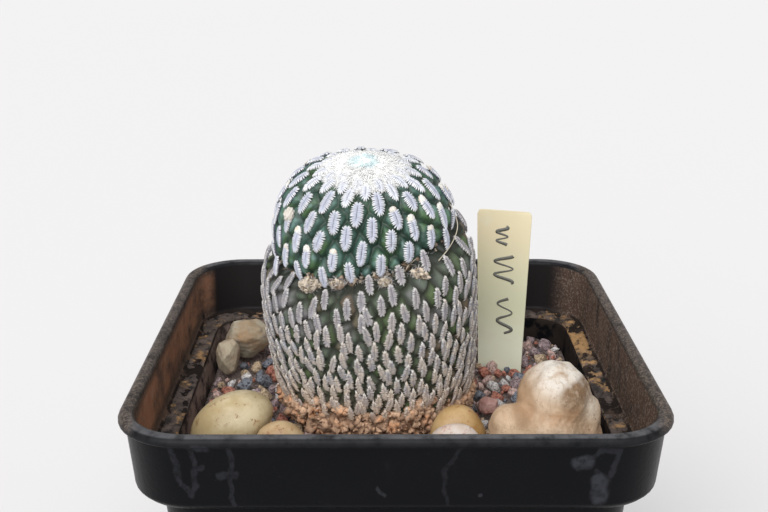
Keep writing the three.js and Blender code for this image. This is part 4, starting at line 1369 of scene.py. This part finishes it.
def clear_of_things(x, y, radius):
    """True where a grain of this radius meets no stone, plant, label or wall."""
    inside = inner_half(GRAVEL_TOP) - radius
    corner = np.hypot(max(abs(x) - CORNER_MIDDLE, 0), max(abs(y) - CORNER_MIDDLE, 0))
    if abs(x) > inside or abs(y) > inside or corner > CORNER_ROOM - radius:
        return False
    if math.hypot(x - axis_x(GRAVEL_TOP), y - PLANT_Y) < PLANT_ROOM + radius:
        return False
    off = (y - LABEL_Y) * math.cos(LABEL_TURN) - (x - LABEL_X) * math.sin(LABEL_TURN)
    if abs(x - LABEL_X) < LABEL_ROOM[0] + radius and abs(off) < LABEL_ROOM[1] + radius * 0.8:
        return False
    if stone_field(np.array([[x, y, GRAVEL_TOP + 1.0]]))[0] < radius:
        return False
    for sx, sy, (wide, deep, _), *_ in STONES.values():
        far = math.hypot((x - sx) / (wide * STONE_ROOM + radius), (y - sy) / (deep * STONE_ROOM + radius))
        if far < 1:
            return False
    return True


def scatter_grains():
    """Centres and radii of the loose gravel, the placed chips first and then large to small."""
    found = [[x, y, radius] for x, y, radius, _ in CHIPS]
    for smallest, largest, tries in GRAIN_SIZES:
        for _ in range(tries):
            radius = rng.uniform(smallest, largest)
            x, y = rng.uniform(-GRAIN_REACH, GRAIN_REACH, 2)
            if not clear_of_things(x, y, radius):
                continue
            away_x, away_y, others = np.array(found).T - [[x], [y], [0]]
            if (np.hypot(away_x, away_y) >= (others + radius) * GRAIN_SPACING).all():
                found.append([x, y, radius])
    return np.array(found)


def broken_grain(seed):
    """A chip of stone: the hull of a few points, with its edges dulled."""
    draw = np.random.default_rng(seed)
    points = unit(draw.normal(size=(15, 3))) * draw.uniform(0.8, 1.05, (15, 1))
    shape = bmesh.new()
    for point in points:
        shape.verts.new(point)
    bmesh.ops.convex_hull(shape, input=shape.verts)
    loose = [vertex for vertex in shape.verts if not vertex.link_faces]
    bmesh.ops.delete(shape, geom=loose, context="VERTS")
    bmesh.ops.subdivide_edges(shape, edges=shape.edges, cuts=1, use_grid_fill=True)
    bmesh.ops.triangulate(shape, faces=shape.faces)
    bmesh.ops.smooth_vert(shape, verts=shape.verts, factor=0.28, use_axis_x=True, use_axis_y=True,
                          use_axis_z=True)
    bmesh.ops.recalc_face_normals(shape, faces=shape.faces)
    shape.verts.index_update()
    return mesh_arrays(shape)


def gravel_grains():
    """The loose gravel, as one piece for each colour family."""
    grains = scatter_grains()
    shapes = [broken_grain(seed) for seed in GRAIN_SEEDS]
    names = list(GRAVEL)
    family = rng.choice(len(GRAVEL), len(grains), p=[share for share, _, _ in GRAVEL.values()])
    family[: len(CHIPS)] = [names.index(chip[3]) for chip in CHIPS]
    kind = rng.integers(0, len(shapes), len(grains))
    for number, (name, (_, dark, light)) in enumerate(GRAVEL.items()):
        parts = []
        for which, (points, faces) in enumerate(shapes):
            x, y, radius = grains[(family == number) & (kind == which)].T
            count = len(x)
            scales = radius[:, None] * rng.uniform(0.8, 1.12, (count, 3))
            frames = random_frames(count, scales)
            z = GRAVEL_TOP + radius * 0.3 + rng.uniform(-0.25, 0.2, count)
            parts.append(copies(points, faces, frames, columns(x, y, z)))
        points, faces = join_faces(parts)
        add_piece(name, points, faces, grain_material(name, dark, light), smooth=False)


def gravel_bed(material):
    """Grit between the grains, as one rough sheet with a skirt down the pot's wall."""
    edge = inner_half(GRAVEL_TOP)
    corner = inner_corner(edge)
    rings = []
    for half in edge * np.linspace(0.02, 1, 46):
        rings.append(rounded_square(half, min(corner, half * 0.98), GRAVEL_TOP - 0.45))
    rings.append(rounded_square(edge, corner, GRAVEL_TOP - 2.2))
    points, faces = stacked(rings, flip=True)
    points[:, 2] += waves(points, (0.26, 1.7, 12, 81), (0.16, 0.7, 12, 82))
    piece = add_piece("gravel_bed", points, faces, material)
    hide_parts("top_gravel")


# Everything together

skin = stem_skin(skin_material())
young = spine_material("young_spines", (0.74, 0.77, 0.85), (0.93, 0.94, 0.95), (0.5, 0.44, 0.38))
white = spine_material("white_spines", (0.53, 0.565, 0.68), (0.94, 0.95, 0.97), (0.56, 0.5, 0.44))
grey = spine_material("grey_spines", (0.32, 0.31, 0.345), (0.84, 0.82, 0.8), (0.66, 0.56, 0.45))
felt = spine_material("areole_felt", (0.17, 0.18, 0.27), (0.74, 0.76, 0.82), (0.24, 0.2, 0.18))
old_growth = oldness(THETA, DOWN) > 0
inner = (DOWN > WOOL_OVER) & (DOWN < SIDE_LENGTH - 0.2) & CLEAR
combs("young_combs", inner & (DOWN < YOUNG), 0.24, (0.0, 0.45, 0.82), young)
combs("cap_combs", inner & (DOWN >= YOUNG) & ~old_growth, 0.24, (0.0, 0.45, 0.82), white)
combs("old_combs", inner & old_growth, 0.23, (0.0, 0.65), grey)
comb_beds(felt)
comb_wool(crumb_material("cream_wool", (0.56, 0.5, 0.43), (0.9, 0.88, 0.83), (0.79, 0.69, 0.56), 0.3))
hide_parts("stem_with_spine_combs")
wool = crown_wool(spine_material("crown_felt", (0.68, 0.84, 0.88), (0.94, 0.95, 0.95), (0.9, 0.82, 0.66)))
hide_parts("white_crown")

scrap = crumb_material("dried_flower", (0.11, 0.072, 0.042), (0.66, 0.57, 0.455), (0.56, 0.38, 0.275), 0.9)
for flower in FLOWERS:
    dried_flower(flower, scrap)
waist_scraps(scrap)
waist_wool(grey)
pale_fibre(plain_material("pale_fibre", (0.5, 0.44, 0.34), (0.62, 0.56, 0.46)))
cork_base(crumb_material("cork", (0.15, 0.075, 0.045), (0.84, 0.56, 0.37), (0.7, 0.37, 0.2), 0.8))

pot(pot_material())
crust_colours = [(0.008, 0.008, 0.009), (0.19, 0.14, 0.118), (0.44, 0.255, 0.105)]
ledge_crust(crumb_material("ledge_crust", *crust_colours, 1.3))

for stone, settings in STONES.items():
    pebble(stone, *settings)
knobby_stone(knobby_material())

label(label_material())
label_strokes(plain_material("pencil", (0.1, 0.1, 0.09), (0.2, 0.2, 0.17), 0.6, 0.6))

gravel_grains()
gravel_bed(grain_material("grit", (0.17, 0.125, 0.11), (0.33, 0.26, 0.235)))
soil = plain_material("potting_soil", (0.03, 0.02, 0.013), (0.09, 0.06, 0.04), 1.0, 1.6, 0.4)
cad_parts["potting_soil"].data.materials[0] = soil


# Floor, light and camera

FLOOR_HALF = 8.0  # metres
SUN_FROM = (-0.3, -1.0, 0.85)  # from the upper left, behind the camera
SUN_STRENGTH = 3.0
WORLD_COLOUR = (0.985, 0.98, 0.985, 1.0)
WORLD_STRENGTH = 0.58
LENS = 53.06  # millimetres, on a sensor 36 wide
SENSOR = 36
CAMERA_PLACE = (-0.00196, -0.1564, 0.12716)
CAMERA_DOWN = 17.818  # degrees
CAMERA_TURN = -0.198  # degrees


def stage_floor():
    """A wide pale table that runs out of sight."""
    paint = Paint("stage_floor", Specular_IOR_Level=0.0)
    paint.colour = paint.mix(paint.noise(900, 2), (0.76, 0.755, 0.755), (0.78, 0.77, 0.77))
    mesh = bpy.data.meshes.new("stage_floor")
    corners = [(x * FLOOR_HALF, y * FLOOR_HALF, 0) for x, y in ((-1, -1), (1, -1), (1, 1), (-1, 1))]
    mesh.from_pydata(corners, [], [(0, 1, 2, 3)])
    mesh.materials.append(paint.finish(0.95))
    floor = link("stage_floor", mesh)


def window_light():
    """One broad soft light from above and in front of the pot's left side."""
    light = bpy.data.lights.new("window", "SUN")
    light.angle = math.radians(60)
    light.energy = SUN_STRENGTH
    lamp = link("window", light)
    lamp.rotation_euler = (-Vector(SUN_FROM)).to_track_quat("-Z", "Y").to_euler()


def studio_world():
    world = bpy.data.worlds.new("studio")
    world.use_nodes = True
    sky = world.node_tree.nodes["Background"].inputs
    sky["Color"].default_value = WORLD_COLOUR
    sky["Strength"].default_value = WORLD_STRENGTH
    bpy.context.scene.world = world
    bpy.context.scene.view_settings.view_transform = "Standard"


def camera():
    lens = bpy.data.cameras.new("camera")
    lens.sensor_width = SENSOR
    lens.lens = LENS
    lens.clip_start = 0.005
    eye = link("camera", lens)
    eye.location = CAMERA_PLACE
    eye.rotation_euler = (math.radians(90 - CAMERA_DOWN), 0, math.radians(CAMERA_TURN))
    bpy.context.scene.camera = eye


stage_floor()
window_light()
studio_world()
camera()
